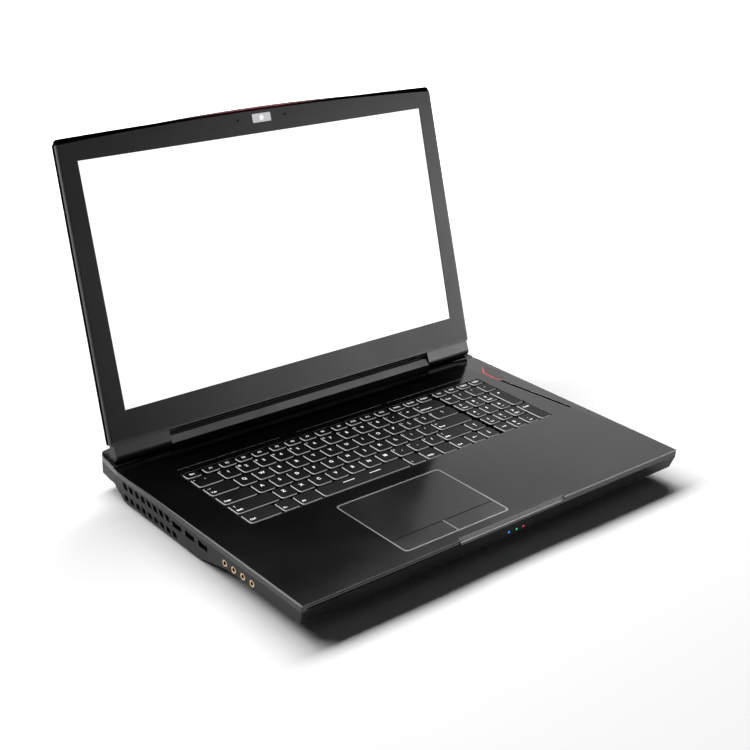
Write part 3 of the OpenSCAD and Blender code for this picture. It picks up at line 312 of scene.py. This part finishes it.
# The webcam window and the lens disc glow though they are no lamps: painted light that keeps them pale on the
# dimly lit face of the lid
window = moulded(
    "camera_window", grey(0.42), grey(0.50), (0.30, 0.40),
    grain=1.5, depth=0.003, edge=0.15, Emission_Strength=0.55,
)
window.glow(window.tone)
lens_white = moulded(
    "lens_white", grey(0.80), grey(0.88), (0.12, 0.20),
    grain=2.0, depth=0.002, Emission_Strength=0.75,
)
lens_white.glow(lens_white.tone)
# Flat black without gloss: painted shade in holes and gaps, and the black of the lid's rim and the touchpad's
# seam
hole_black = moulded(
    "hole_black", grey(0.0015), grey(0.0030), (0.6, 0.8),
    grain=2.0, depth=0.002, Specular_IOR_Level=0.0,
)
mark_grey = moulded("mark_grey", grey(0.16), grey(0.24), (0.4, 0.5), grain=2.0, depth=0.002)
bright = moulded(
    "bright_trim", grey(0.13), grey(0.19), (0.25, 0.35),
    grain=1.2, depth=0.003, edge=0.15, Metallic=0.4,
)
steel = brushed("socket_steel", grey(0.42), grey(0.58))
shell = brushed("socket_black", grey(0.010), grey(0.020), (0.4, 0.5))
fins = brushed("fins_black", grey(0.006), grey(0.012), (0.4, 0.5))
gold = brushed("socket_gold", (0.72, 0.50, 0.26), (0.90, 0.70, 0.44), (0.22, 0.34))
hinge = brushed("hinge_steel", grey(0.42), grey(0.60))
drive = brushed("drive_metal", grey(0.48), grey(0.64), (0.3, 0.45))
copper = brushed("copper", (0.62, 0.30, 0.16), (0.84, 0.46, 0.27))


def board_paint():
    """Green circuit board with tracks under the lacquer."""
    paint = Paint("board_green")
    cells = paint.node(
        "ShaderNodeTexVoronoi", feature="DISTANCE_TO_EDGE", distance="MANHATTAN", Scale=260.0
    )
    paint.link(paint.coords, cells.inputs["Vector"])
    track = paint.ramp(cells.outputs["Distance"], 1.0, 0.0, 0.02, 0.05)
    cloud = paint.ramp(paint.noise(0.05, 3.0), 0.0, 1.0)
    base = paint.mix(cloud, (0.010, 0.09, 0.035), (0.016, 0.15, 0.06))
    paint.colour(paint.mix(track, base, (0.05, 0.24, 0.09)))
    paint.roughness(paint.ramp(cloud, 0.3, 0.45, 0.0, 1.0))
    paint.bump(track, 0.03, 0.1)
    return paint


# Where the front edge's painted glint line fades in, at the notch's left end
GLINT_START = (-55.0 * MM, -50.0 * MM)
# Heights between which the painted glint lines fade in
GLINT_BAND = (deck_high[2] - 1.0 * MM, deck_high[2] - 0.7 * MM)


def deck_marks(paint):
    """Painted light: the left and front outer walls a shade lighter, a thin painted glint line along the left
    and right front edges, and a painted highlight on the notch's slope.
    """
    x, y, z = paint.place()
    up = paint.facing()[2]
    left = paint.math("SUBTRACT", x, deck_low[0])
    front = paint.math("SUBTRACT", y, deck_low[1])
    # Painted light: the left and front outer walls a shade lighter, as if lit
    outside = paint.either(paint.below(left, 1.2 * MM), paint.below(front, 1.2 * MM))
    wall = paint.both(outside, paint.ramp(up, 1.0, 0.0, 0.3, 0.6))
    paint.tone = paint.mix(wall, paint.tone, grey(0.012))
    # Painted highlight: a thin glint line along the left edge and the right part of the front edge
    right_part = paint.ramp(x, 0.0, 1.0, *GLINT_START)
    front_glint = paint.both(paint.below(front, 0.9 * MM, 0.2), right_part)
    line = paint.either(front_glint, paint.below(left, 1.1 * MM, 0.2))
    line = paint.both(line, paint.ramp(z, 0.0, 1.0, *GLINT_BAND))
    paint.tone = paint.mix(line, paint.tone, grey(0.20))
    # Painted highlight: light grey on the sloping faces of the notch at the front
    slope = paint.both(paint.ramp(up, 0.0, 1.0, 0.2, 0.4), paint.ramp(up, 1.0, 0.0, 0.8, 0.95))
    notch = paint.both(paint.below(front, 3.4 * MM), slope)
    paint.colour(paint.mix(notch, paint.tone, grey(0.42)))


CROWN = 274.0 * MM  # Height up the lid of the arch's middle
ARCH_FALL = 0.1271  # How the arch falls with the square of x, per metre
LID_HALF = 211.0 * MM  # Half the lid's width at its foot
LID_TAPER = 0.0111  # How the half width shrinks up the lid
RED_FALL = 0.045  # How the red band thins with the square of x, per metre


def lid_marks(paint, foot_height, foot_highlight=None):
    """Black rim and a red band along the arched top, a lighter band on the side edges and a foot in a given
    tone as painted highlights, and black painted shade on the side edges' rear and, without a tone, on the
    foot.
    """
    x, y, z = paint.place()
    back = paint.math("SUBTRACT", y, AXIS_Y)
    rise = paint.math("SUBTRACT", z, AXIS_Z)
    up_lid = paint.math(
        "ADD", paint.math("MULTIPLY", back, math.sin(LEAN)), paint.math("MULTIPLY", rise, math.cos(LEAN))
    )
    depth = paint.math(
        "SUBTRACT", paint.math("MULTIPLY", back, math.cos(LEAN)), paint.math("MULTIPLY", rise, math.sin(LEAN))
    )
    bend = paint.math("MULTIPLY", x, x)
    arch = paint.math("SUBTRACT", CROWN, paint.math("MULTIPLY", bend, ARCH_FALL))
    drop = paint.math("SUBTRACT", arch, up_lid)
    inward = paint.math("SUBTRACT", LID_HALF, paint.math("ABSOLUTE", x))
    inward = paint.math("SUBTRACT", inward, paint.math("MULTIPLY", up_lid, LID_TAPER))
    flank = paint.below(inward, 0.5 * MM)
    rear = paint.ramp(depth, 0.0, 1.0, -1.5 * MM, -1.3 * MM)
    front = paint.ramp(depth, 0.0, 1.0, -2.8 * MM, -2.6 * MM)
    # Black without gloss: the rim along the arched top, and as painted shade the rear of the side edges
    black = paint.either(paint.below(drop, 2.0 * MM), paint.both(flank, rear))
    # The foot: a painted highlight in the given tone, or black as painted shade without one
    foot = paint.below(up_lid, foot_height)
    if foot_highlight:
        paint.tone = paint.mix(foot, paint.tone, foot_highlight)
    else:
        black = paint.either(black, foot)
    # Painted highlight: a lighter band on the side edges, in front of their black rear
    paint.tone = paint.mix(paint.both(flank, front), paint.tone, grey(0.055))
    paint.tone = paint.mix(black, paint.tone, grey(0.0025))
    red = paint.math("SUBTRACT", 1.0 * MM, paint.math("MULTIPLY", bend, RED_FALL))
    paint.colour(paint.mix(paint.below(drop, red), paint.tone, (0.50, 0.034, 0.052)))
    level = paint.shader.inputs["Specular IOR Level"].default_value
    paint.shine(paint.ramp(black, level, 0.0, 0.0, 1.0))


def spine_paint():
    """Grey painted lit and shaded by facing: satin grey on the slope, black as painted shade on the crest,
    below and behind.
    """
    paint = Paint("spine_grey")
    up = paint.facing()[2]
    grit = paint.noise(2.0, 2.0)
    blend = paint.blend(paint.noise(PATCHES, 4.0), grit, 0.7)
    satin = paint.mix(paint.ramp(blend, 0.0, 1.0), grey(0.48), grey(0.56))
    black = paint.mix(paint.ramp(blend, 0.0, 1.0), grey(0.004), grey(0.008))
    crest = paint.ramp(up, 0.0, 1.0, 0.90, 0.94)
    under = paint.ramp(up, 1.0, 0.0, 0.10, 0.16)
    behind = paint.ramp(paint.facing()[1], 0.0, 1.0, 0.0, 0.2)
    # Painted light and shade: the part is light satin on its front slope, black on all other faces
    dark = paint.either(paint.either(crest, under), behind)
    paint.colour(paint.mix(dark, satin, black))
    paint.shine(paint.ramp(dark, 0.5, 0.02, 0.0, 1.0))
    paint.roughness(paint.ramp(blend, 0.28, 0.38))
    paint.bump(grit, 0.004, 0.3)
    return paint


# Heights between which a keycap's sides turn from black below to the milky, backlit skirt above
SKIRT = (deck_high[2] - 0.65 * MM, deck_high[2] - 0.5 * MM)


def key_paint():
    """Black cap with a satin top over a milky skirt that carries the backlight; the skirt's left-facing sides
    glow brighter as a painted highlight.
    """
    paint = Paint("key_black")
    side = paint.ramp(paint.facing()[2], 1.0, 0.0, 0.55, 0.9)
    grit = paint.noise(2.2, 2.0)
    blend = paint.blend(paint.noise(0.05, 3.0), grit, 0.6)
    cap = paint.mix(paint.ramp(blend, 0.0, 1.0), grey(0.0030), grey(0.0050))
    milk = paint.mix(paint.ramp(blend, 0.0, 1.0), grey(0.46), grey(0.60))
    skirt = paint.both(side, paint.ramp(paint.place()[2], 0.0, 1.0, *SKIRT))
    paint.colour(paint.mix(skirt, cap, milk))
    paint.roughness(paint.ramp(blend, 0.36, 0.48))
    # Painted highlight: the skirt glows brighter on its left-facing sides than on the others
    left = paint.ramp(paint.facing()[0], 1.0, 0.0, -0.8, -0.2)
    paint.glow(paint.mix(skirt, (0.0, 0.0, 0.0), paint.mix(left, grey(0.30), grey(0.62))))
    paint.set(Emission_Strength=0.7, Specular_IOR_Level=0.06)
    paint.bump(grit, 0.006)
    return paint


def power_ring_paint():
    """Red plastic ring, lit from behind along its left and front sides only."""
    paint = Paint("red_light")
    low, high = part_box("power_button_light")
    x, y, _ = paint.place()
    off_middle = paint.math("SUBTRACT", y, (low[1] + high[1]) / 2)
    across = paint.math("SUBTRACT", x, paint.math("MULTIPLY", off_middle, 0.2))
    near = paint.ramp(across, 1.0, 0.0, 195.5 * MM, 201.0 * MM)
    ahead = paint.ramp(y, 1.0, 0.0, 56.0 * MM, 64.0 * MM)
    lit = paint.both(near, ahead)
    paint.glow(paint.mix(lit, (0.050, 0.002, 0.003), (0.95, 0.060, 0.055)))
    paint.colour(paint.mix(lit, (0.030, 0.002, 0.003), (0.50, 0.020, 0.020)))
    paint.roughness(paint.ramp(paint.noise(0.25, 3.0), 0.12, 0.22))
    paint.bump(paint.noise(1.5), 0.002, 0.1)
    paint.set(Emission_Strength=1.0)
    return paint


def status_paint():
    """Blue, green and red lamps, told apart by their place along the front."""
    paint = Paint("status_light")
    x = paint.place()[0]
    cloud = paint.ramp(paint.noise(0.9, 3.0), 0.0, 1.0)
    blue = paint.mix(cloud, (0.02, 0.16, 0.62), (0.05, 0.30, 0.90))
    green_tone = paint.mix(cloud, (0.02, 0.36, 0.12), (0.05, 0.58, 0.22))
    red = paint.mix(cloud, (0.48, 0.02, 0.03), (0.72, 0.06, 0.06))
    lamps = sorted(solids_of("status_leds"))
    gaps = [(left[1][0] + right[0][0]) / 2 for left, right in zip(lamps, lamps[1:])]
    tone = blue
    for gap, following in zip(gaps, (green_tone, red)):
        tone = paint.mix(paint.ramp(x, 0.0, 1.0, gap - 0.1 * MM, gap + 0.1 * MM), tone, following)
    paint.colour(tone)
    paint.glow(tone)
    paint.set(Emission_Strength=1.6)
    paint.roughness(paint.ramp(cloud, 0.1, 0.25, 0.0, 1.0))
    paint.bump(paint.noise(2.0), 0.002, 0.1)
    return paint


def panel_paint():
    """Dark non-glare panel under the picture."""
    paint = Paint("panel_glass")
    grit = paint.noise(4.0, 2.0)
    cloud = paint.ramp(paint.noise(0.02, 3.0), 0.0, 1.0)
    paint.colour(paint.mix(cloud, grey(0.006), grey(0.010)))
    paint.roughness(paint.ramp(grit, 0.22, 0.32))
    paint.bump(grit, 0.002)
    return paint


def picture_paint():
    """The blank white picture that the panel shows."""
    paint = Paint("screen_picture")
    cloud = paint.ramp(paint.noise(0.01, 2.0), 0.0, 1.0)
    grit = paint.noise(4.0, 2.0)
    paint.glow(paint.mix(cloud, (0.985, 0.985, 0.985), (1.0, 1.0, 1.0)))
    paint.colour(paint.mix(cloud, (0.02, 0.02, 0.02), (0.03, 0.03, 0.03)))
    paint.roughness(paint.ramp(grit, 0.35, 0.45))
    paint.bump(grit, 0.002)
    paint.set(Emission_Strength=1.0)
    return paint


def legend_paint():
    """Milky printed legends, a little lit from behind."""
    paint = Paint("legend_white")
    cloud = paint.ramp(paint.noise(0.4, 3.0), 0.0, 1.0)
    tone = paint.mix(cloud, grey(0.62), grey(0.74))
    paint.colour(tone)
    paint.glow(tone)
    paint.set(Emission_Strength=0.9)
    paint.roughness(paint.ramp(cloud, 0.35, 0.5, 0.0, 1.0))
    paint.bump(paint.noise(3.0), 0.001)
    return paint


deck_marks(deck)
lid_marks(lid_black, 9.1 * MM)
lid_marks(bezel, 12.0 * MM, foot_highlight=grey(0.075))
key = key_paint()

PAINTS = {
    casing: ["bottom_cover", "rear_vent_cover"],
    deck: ["palm_rest_deck", "power_button"],
    button: ["shortcut_button_front", "shortcut_button_middle", "shortcut_button_rear"],
    spine_paint(): ["hinge_spine_cover"],
    tray: ["keyboard_plate"],
    touch: ["touchpad_surface", "touchpad_button_left", "touchpad_button_right"],
    bright: ["touchpad_trim"],
    power_ring_paint(): ["power_button_light"],
    strip: ["front_light_strip"],
    status_paint(): ["status_leds"],
    board_paint(): ["motherboard", "memory_modules", "wireless_card", "webcam_module"],
    copper: ["processor_heat_sink", "heat_pipes"],
    fins: ["cooling_fins"],
    fan: ["fan_housings", "fan_rotor_left", "fan_rotor_right", "speakers", "card_reader", "network_socket"],
    wrap: ["battery_pack"],
    drive: ["storage_drive"],
    steel: ["case_screws"],
    shell: ["usb_sockets", "rear_sockets"],
    gold: ["audio_sockets"],
    rubber: ["rubber_feet"],
    hinge: ["hinge_brackets", "hinge_pins", "hinge_leaves"],
    lid_black: ["lid_back_cover"],
    red_trim: ["lid_top_trim"],
    bezel: ["display_bezel"],
    barrel: ["hinge_covers"],
    panel_paint(): ["display_panel"],
    window: ["webcam_window"],
    key: [node for node in nodes if node.endswith(("_keys", "_key")) or node == "space_bar"],
}
for paint, painted in PAINTS.items():
    for node in painted:
        mesh = nodes[node].data
        mesh.materials.clear()
        mesh.materials.append(paint.material)
unpainted = sorted(set(nodes) - {node for painted in PAINTS.values() for node in painted})
if unpainted:
    raise RuntimeError(f"no material is given to {unpainted}")

# ------------------------------------------------------------------ pieces


def piece(name, vertices, faces, paint, body):
    """A mesh in the shared frame, in metres, that rides on a body."""
    mesh = bpy.data.meshes.new(name)
    mesh.from_pydata([tuple(v) for v in vertices], [], faces)
    mesh.validate()
    mesh.update()
    made = bpy.data.objects.new(name, mesh)
    bpy.context.scene.collection.objects.link(made)
    mesh.materials.append(paint.material)
    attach(made, body)
    return made


def rectangle(left, front, right, back, height):
    """The corners of a level rectangle, in the units given."""
    return [(left, front, height), (right, front, height), (right, back, height), (left, back, height)]


def circle(radius, corners):
    turns = (math.tau * i / corners for i in range(corners))
    return [(radius * math.cos(turn), radius * math.sin(turn)) for turn in turns]


# ------------------------------------------------------------------ key legends

ARROWS = {"<-": 180, "->": 0, "^": 90, "v": 270}
SHIFTED = dict(zip("`1234567890-=[];',./\\", '~!@#$%^&*()_+{}:"<>?|'))
LETTERS = {
    "number_row_keys": "`1234567890-=",
    "upper_letter_keys": "QWERTYUIOP[]\\",
    "home_letter_keys": "ASDFGHJKL;'",
    "lower_letter_keys": "ZXCVBNM,./",
}
WORDS = {
    "function_keys": ["Esc", *(f"F{i}" for i in range(1, 13)), "PrtSc", "ScrLk", "Pause"],
    "navigation_keys": ["Ins", "Del", "PgUp", "PgDn"],
}
WIDE = {  # The word at the front left of a wide key, and the arrow above it
    "backspace_key": [("Backspace", "<-")],
    "enter_key": [("Enter", "<-")],
    "caps_and_tab_keys": [("Tab", "->"), ("Caps", None)],
    "shift_keys": [("Shift", "^"), ("Shift", "^")],
    "modifier_keys": [(word, None) for word in ("Ctrl", "Fn", "Alt", "\\", "AltGr", "", "Ctrl")],
}
PAD = [  # The main legend of a number pad key, and the smaller one under it
    ("Num", None), ("/", None), ("*", None), ("-", None),
    ("7", "Home"), ("8", "^"), ("9", "PgUp"),
    ("4", "<-"), ("5", None), ("6", "->"),
    ("1", "End"), ("2", "v"), ("3", "PgDn"),
    ("0", "Ins"), (".", "Del"),
]
KEY_ROW = 16.0 * MM  # Keys whose middles round to the same number of these are in one row
INSET = 1.9 * MM  # From a cap's left and back edges to its first legend

glyphs = {}


def glyph(text):
    """Vertices, faces and width of one line of text, one unit high."""
    if text not in glyphs:
        curve = bpy.data.curves.new("glyph", "FONT")
        curve.body = text
        curve.resolution_u = 3
        curve.offset = 0.025
        holder = bpy.data.objects.new("glyph", curve)
        bpy.context.scene.collection.objects.link(holder)
        bpy.context.view_layer.update()
        made = bpy.data.meshes.new_from_object(
            holder.evaluated_get(bpy.context.evaluated_depsgraph_get())
        )
        spots = [(v.co.x, v.co.y) for v in made.vertices]
        faces = [tuple(p.vertices) for p in made.polygons]
        bpy.data.objects.remove(holder)
        bpy.data.curves.remove(curve)
        bpy.data.meshes.remove(made)
        left = min(spot[0] for spot in spots)
        right = max(spot[0] for spot in spots)
        glyphs[text] = ([(x - left, y) for x, y in spots], faces, right - left)
    return glyphs[text]


class Sheet:
    """Collects the legends of one node's keys into one mesh."""

    def __init__(self):
        self.vertices, self.faces = [], []

    def add(self, spots, faces, x, y, z, size):
        first = len(self.vertices)
        self.vertices += [(x + spot[0] * size, y + spot[1] * size, z) for spot in spots]
        self.faces += [tuple(first + i for i in face) for face in faces]

    def text(self, words, x, y, z, size, centred=True):
        spots, faces, width = glyph(words)
        self.add(spots, faces, x - (width * size / 2 if centred else 0.0), y, z, size)

    def arrow(self, kind, x, y, z, size):
        """An arrow with a thin shaft, its middle at the place given."""
        flat = [(-0.5, -0.05), (0.2, -0.05), (0.2, -0.22), (0.5, 0.0), (0.2, 0.22), (0.2, 0.05), (-0.5, 0.05)]
        turn = Matrix.Rotation(math.radians(ARROWS[kind]), 2)
        self.add([tuple(turn @ Vector(spot)) for spot in flat], [tuple(range(7))], x, y, z, size)

    def dash(self, x, y, z, length):
        flat = [(-0.5, -0.03), (0.5, -0.03), (0.5, 0.03), (-0.5, 0.03)]
        self.add(flat, [(0, 1, 2, 3)], x, y, z, length)


def by_rows(boxes):
    """Boxes from the back row to the front one, and from left to right in each."""
    return sorted(boxes, key=lambda box: (-round((box[0][1] + box[1][1]) / 2 / KEY_ROW), box[0][0]))


def print_key(sheet, node, i, low, high):
    """Print the legends of the key that is the i-th of its node, in a box from low to high."""
    left, back, z = low[0] + INSET, high[1] - INSET, high[2] + LIFT
    middle, half_way = (low[0] + high[0]) / 2, (low[1] + high[1]) / 2
    if node in LETTERS:
        letter = LETTERS[node][i]
        if letter in SHIFTED:
            sheet.text(SHIFTED[letter], left - 0.2 * MM, back - 2.6 * MM, z, 3.0 * MM, centred=False)
        sheet.text(letter, middle, back - 6.4 * MM, z, 5.0 * MM)
    elif node in WORDS:
        sheet.text(WORDS[node][i], middle, half_way - 0.6 * MM, z, 3.6 * MM)
    elif node in WIDE:
        word, mark = WIDE[node][i]
        if word:
            sheet.text(word, left + 0.5 * MM, low[1] + 4.0 * MM, z, 3.2 * MM, centred=False)
        if mark:
            sheet.arrow(mark, left + 2.4 * MM, back - 3.0 * MM, z, 3.2 * MM)
    elif node == "number_pad_keys":
        main, lower = PAD[i]
        x = middle - 1.0 * MM
        sheet.text(main, x, back - 6.0 * MM, z, (3.2 if len(main) > 1 else 4.8) * MM)
        if lower in ARROWS:
            sheet.arrow(lower, x, back - 10.2 * MM, z, 3.0 * MM)
        elif lower:
            sheet.text(lower, x, back - 11.2 * MM, z, 2.6 * MM)
    elif node == "number_pad_tall_keys":
        words, size = (("+", 6.0), ("Enter", 3.4))[i]
        sheet.text(words, middle, back - 7.0 * MM, z, size * MM)
    elif node == "arrow_keys":
        sheet.arrow(("^", "<-", "v", "->")[i], middle, half_way, z, 5.4 * MM)
    elif node == "space_bar":
        for shift in (-14.5, 14.5):
            sheet.dash(middle + shift * MM, high[1] - 6.055 * MM, z, 12.5 * MM)


legend = legend_paint()
for node in PAINTS[key]:
    sheet = Sheet()
    for i, (low, high) in enumerate(by_rows(solids_of(node))):
        print_key(sheet, node, i, low, high)
    piece("legends_" + node, sheet.vertices, sheet.faces, legend, body_of_node[node])

# ------------------------------------------------------------------ screen picture and small fittings

# Half width, lower edge and upper edge of the picture, in mm, on the lid
PICTURE_HALF, PICTURE_FOOT, PICTURE_TOP = 191.0, 36.55, 251.35
CAMERA_LINE = 265.0  # Height in mm up the lid of the webcam and the microphones


def screen_picture():
    """The lit picture, just in front of the panel."""
    front = min(
        (v.co.y - AXIS_Y) * math.cos(LEAN) - (v.co.z - AXIS_Z) * math.sin(LEAN)
        for v in nodes["display_panel"].data.vertices
    )
    u = front / MM - 0.05
    corners = [
        on_lid(x, u, v)
        for x, v in (
            (-PICTURE_HALF, PICTURE_FOOT), (PICTURE_HALF, PICTURE_FOOT),
            (PICTURE_HALF, PICTURE_TOP), (-PICTURE_HALF, PICTURE_TOP),
        )
    ]
    shown = piece("screen_picture", corners, [(0, 1, 2, 3)], picture_paint(), "lid")
    shown.visible_glossy = False
    shown.visible_diffuse = False


def disc(name, x, u, radius, paint):
    """A flat disc on the lid's face, on the webcam's line."""
    ring = [on_lid(x + across, u, CAMERA_LINE + up) for across, up in circle(radius, 24)]
    piece(name, ring, [tuple(range(24))], paint, "lid")


def rim_top():
    """Black rim that stands over the ends of the lid's arched top edge."""
    sections, half, corner, front, back = 40, 206.6, 2.2, -4.6, 2.4
    spots, faces = [], []
    for i in range(sections + 1):
        x = half * math.sin(math.pi * (i / sections - 0.5))
        bow = 1 - (x / 208) ** 2
        into_corner = max(0.0, (abs(x) - half + corner) / corner)
        foot, top = 267.8 + 5.5 * bow, 271.2 + 2.6 * bow - corner * into_corner**2
        spots += [on_lid(x, front, foot), on_lid(x, front, top), on_lid(x, back, top), on_lid(x, back, foot)]
        if i:
            first = 4 * i
            for a, b in ((0, 1), (1, 2), (2, 3), (3, 0)):
                faces.append((first + a - 4, first + b - 4, first + b, first + a))
    last = 4 * sections
    faces += [(0, 1, 2, 3), (last, last + 1, last + 2, last + 3)]
    piece("lid_rim_top", spots, faces, hole_black, "lid")


def lip_ends():
    """Short black fillers between the ends of the lid's lip and the hinge covers: painted shade put in the
    gaps there.
    """
    sides = ((0, 1, 3, 2), (4, 6, 7, 5), (0, 4, 5, 1), (2, 3, 7, 6), (0, 2, 6, 4), (1, 5, 7, 3))
    spots, faces = [], []
    for side in (-1, 1):
        first = len(spots)
        for u in (-0.8, 1.8):
            for v in (7.2, 10.5):
                spots += [on_lid(side * 141.0, u, v), on_lid(side * 152.6, u, v)]
        faces += [tuple(first + i for i in corners) for corners in sides]
    piece("lid_lip_gap_shade", spots, faces, hole_black, "lid")


JACK_RING = 2.9 * MM  # Radius of an audio socket's ring, whose lowest point is the socket's
JACK_BORE = 1.7 * MM


def jack_bores():
    """Black discs at the mouths of the audio sockets, as painted shade in their bores, from the front one to
    the rear one.
    """
    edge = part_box("audio_sockets")[0][0] - LIFT
    sockets = sorted(solids_of("audio_sockets"), key=lambda box: box[0][1])
    for i, (low, high) in enumerate(sockets, start=1):
        y, z = (low[1] + high[1]) / 2, low[2] + JACK_RING
        ring = [(edge, y + along, z + up) for along, up in circle(JACK_BORE, 20)]
        piece(f"jack_bore_{i}", ring, [tuple(range(20))], hole_black, "base")


def touchpad_seam():
    """The dark seam above the touchpad's buttons."""
    low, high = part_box("touchpad_surface")
    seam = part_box("touchpad_button_left")[1][1]
    spots = rectangle(low[0], seam - 0.3 * MM, high[0], seam + 0.5 * MM, high[2] + LIFT)
    piece("touchpad_seam", spots, [(0, 1, 2, 3)], hole_black, "base")


def deck_dots():
    """The dotted line engraved behind the keyboard, in three stretches."""
    pitch, width, height, y = 1.5, 0.7, 0.35, 51.0
    spots, faces = [], []
    for start, end in ((42, 150), (170, 270), (278, 385)):
        for i in range(int((end - start) / pitch)):
            left = deck_low[0] + (start + pitch * i) * MM
            first = len(spots)
            spots += rectangle(left, y * MM, left + width * MM, (y + height) * MM, deck_high[2] + LIFT)
            faces.append((first, first + 1, first + 2, first + 3))
    piece("deck_dots", spots, faces, mark_grey, "base")


screen_picture()
# The lens disc glows as painted light
disc("webcam_lens", 0.0, -5.04, 2.3, lens_white)
# Black discs as painted shade in the microphone holes
disc("microphone_left", -26.5, -5.03, 1.1, hole_black)
disc("microphone_right", 26.5, -5.03, 1.1, hole_black)
jack_bores()
touchpad_seam()
rim_top()
lip_ends()
deck_dots()

# ------------------------------------------------------------------ floor, world, lights, camera


def shows_background(tree):
    """1 for rays that show the background: from the camera, in gloss and through glass."""
    path = tree.nodes.new("ShaderNodeLightPath")
    total = path.outputs["Is Camera Ray"]
    for name in ("Is Glossy Ray", "Is Transmission Ray"):
        add = tree.nodes.new("ShaderNodeMath")
        add.operation = "ADD"
        add.use_clamp = True
        tree.links.new(total, add.inputs[0])
        tree.links.new(path.outputs[name], add.inputs[1])
        total = add.outputs[0]
    return total


def white_floor():
    """Matt white paper that turns to plain white away from the object and keeps its shadow near it."""
    mesh = bpy.data.meshes.new("floor")
    mesh.from_pydata(rectangle(-9, -9, 9, 9, 0), [], [(0, 1, 2, 3)])
    floor = bpy.data.objects.new("floor", mesh)
    floor.location.z = -0.0002
    bpy.context.scene.collection.objects.link(floor)
    paper = Paint("floor_paper")
    paper.set(Base_Color=(0.86, 0.86, 0.86), Roughness=0.9, Specular_IOR_Level=0.0)
    paper.set(Emission_Color=(1.0, 1.0, 1.0))
    reach = paper.node("ShaderNodeVectorMath", operation="LENGTH")
    paper.link(paper.coords, reach.inputs[0])
    far = paper.ramp(reach.outputs["Value"], 0.0, 1.0, 0.4, 1.4, smooth=True)
    gain = paper.both(shows_background(paper.tree), far)
    paper.link(gain, paper.shader.inputs["Emission Strength"])
    mesh.materials.append(paper.material)


def studio_world():
    """White for rays that show the background, under a dark ceiling, and faint for all others."""
    world = bpy.data.worlds.new("studio")
    world.use_nodes = True
    bpy.context.scene.world = world
    tree = world.node_tree
    back = tree.nodes["Background"]
    back.inputs["Color"].default_value = (1.0, 1.0, 1.0, 1.0)
    level = tree.nodes.new("ShaderNodeMapRange")
    level.inputs["To Min"].default_value = 0.03
    sky = tree.nodes.new("ShaderNodeTexCoord")
    parts = tree.nodes.new("ShaderNodeSeparateXYZ")
    tree.links.new(sky.outputs["Generated"], parts.inputs[0])
    ceiling = tree.nodes.new("ShaderNodeMapRange")
    ceiling.interpolation_type = "SMOOTHSTEP"
    ceiling.inputs["From Min"].default_value = 0.42
    ceiling.inputs["From Max"].default_value = 0.56
    ceiling.inputs["To Min"].default_value = 1.0
    ceiling.inputs["To Max"].default_value = 0.02
    tree.links.new(parts.outputs["Z"], ceiling.inputs["Value"])
    tree.links.new(ceiling.outputs["Result"], level.inputs["To Max"])
    tree.links.new(shows_background(tree), level.inputs["Value"])
    tree.links.new(level.outputs["Result"], back.inputs["Strength"])


def lamp(name, place, aim, power, width, height):
    """A rectangular softbox that the camera doesn't see."""
    data = bpy.data.lights.new(name, "AREA")
    data.shape = "RECTANGLE"
    data.size, data.size_y = width, height
    data.energy = power
    made = bpy.data.objects.new(name, data)
    made.location = place
    made.rotation_mode = "QUATERNION"
    made.rotation_quaternion = (Vector(aim) - Vector(place)).to_track_quat("-Z", "Y")
    made.visible_camera = False
    bpy.context.scene.collection.objects.link(made)
    return made


def photo_camera():
    """The photograph's own viewpoint, solved from the corners of the screen, touchpad and deck."""
    data = bpy.data.cameras.new("camera")
    data.sensor_width = 36.0
    data.lens = 65.909
    data.shift_x, data.shift_y = -0.00175, -0.01301
    data.clip_start, data.clip_end = 0.01, 100.0
    camera = bpy.data.objects.new("camera", data)
    camera.location = (-0.730166, -0.843255, 0.584162)
    camera.rotation_euler = [math.radians(angle) for angle in (66.7084, -2.1948, -40.1064)]
    bpy.context.scene.collection.objects.link(camera)
    bpy.context.scene.camera = camera


white_floor()
studio_world()
lamp("softbox_strip", (0.0, 1.3, 2.1), (0.0, 0.0, 0.0), 150.0, 5.0, 0.9)
card = lamp("panel_right", (1.73, -1.35, 0.40), (0.1, 0.1, 0.15), 54.0, 1.6, 0.8)
card.visible_diffuse = False  # The card shows in reflections only
photo_camera()

bpy.context.scene.view_settings.view_transform = "Standard"
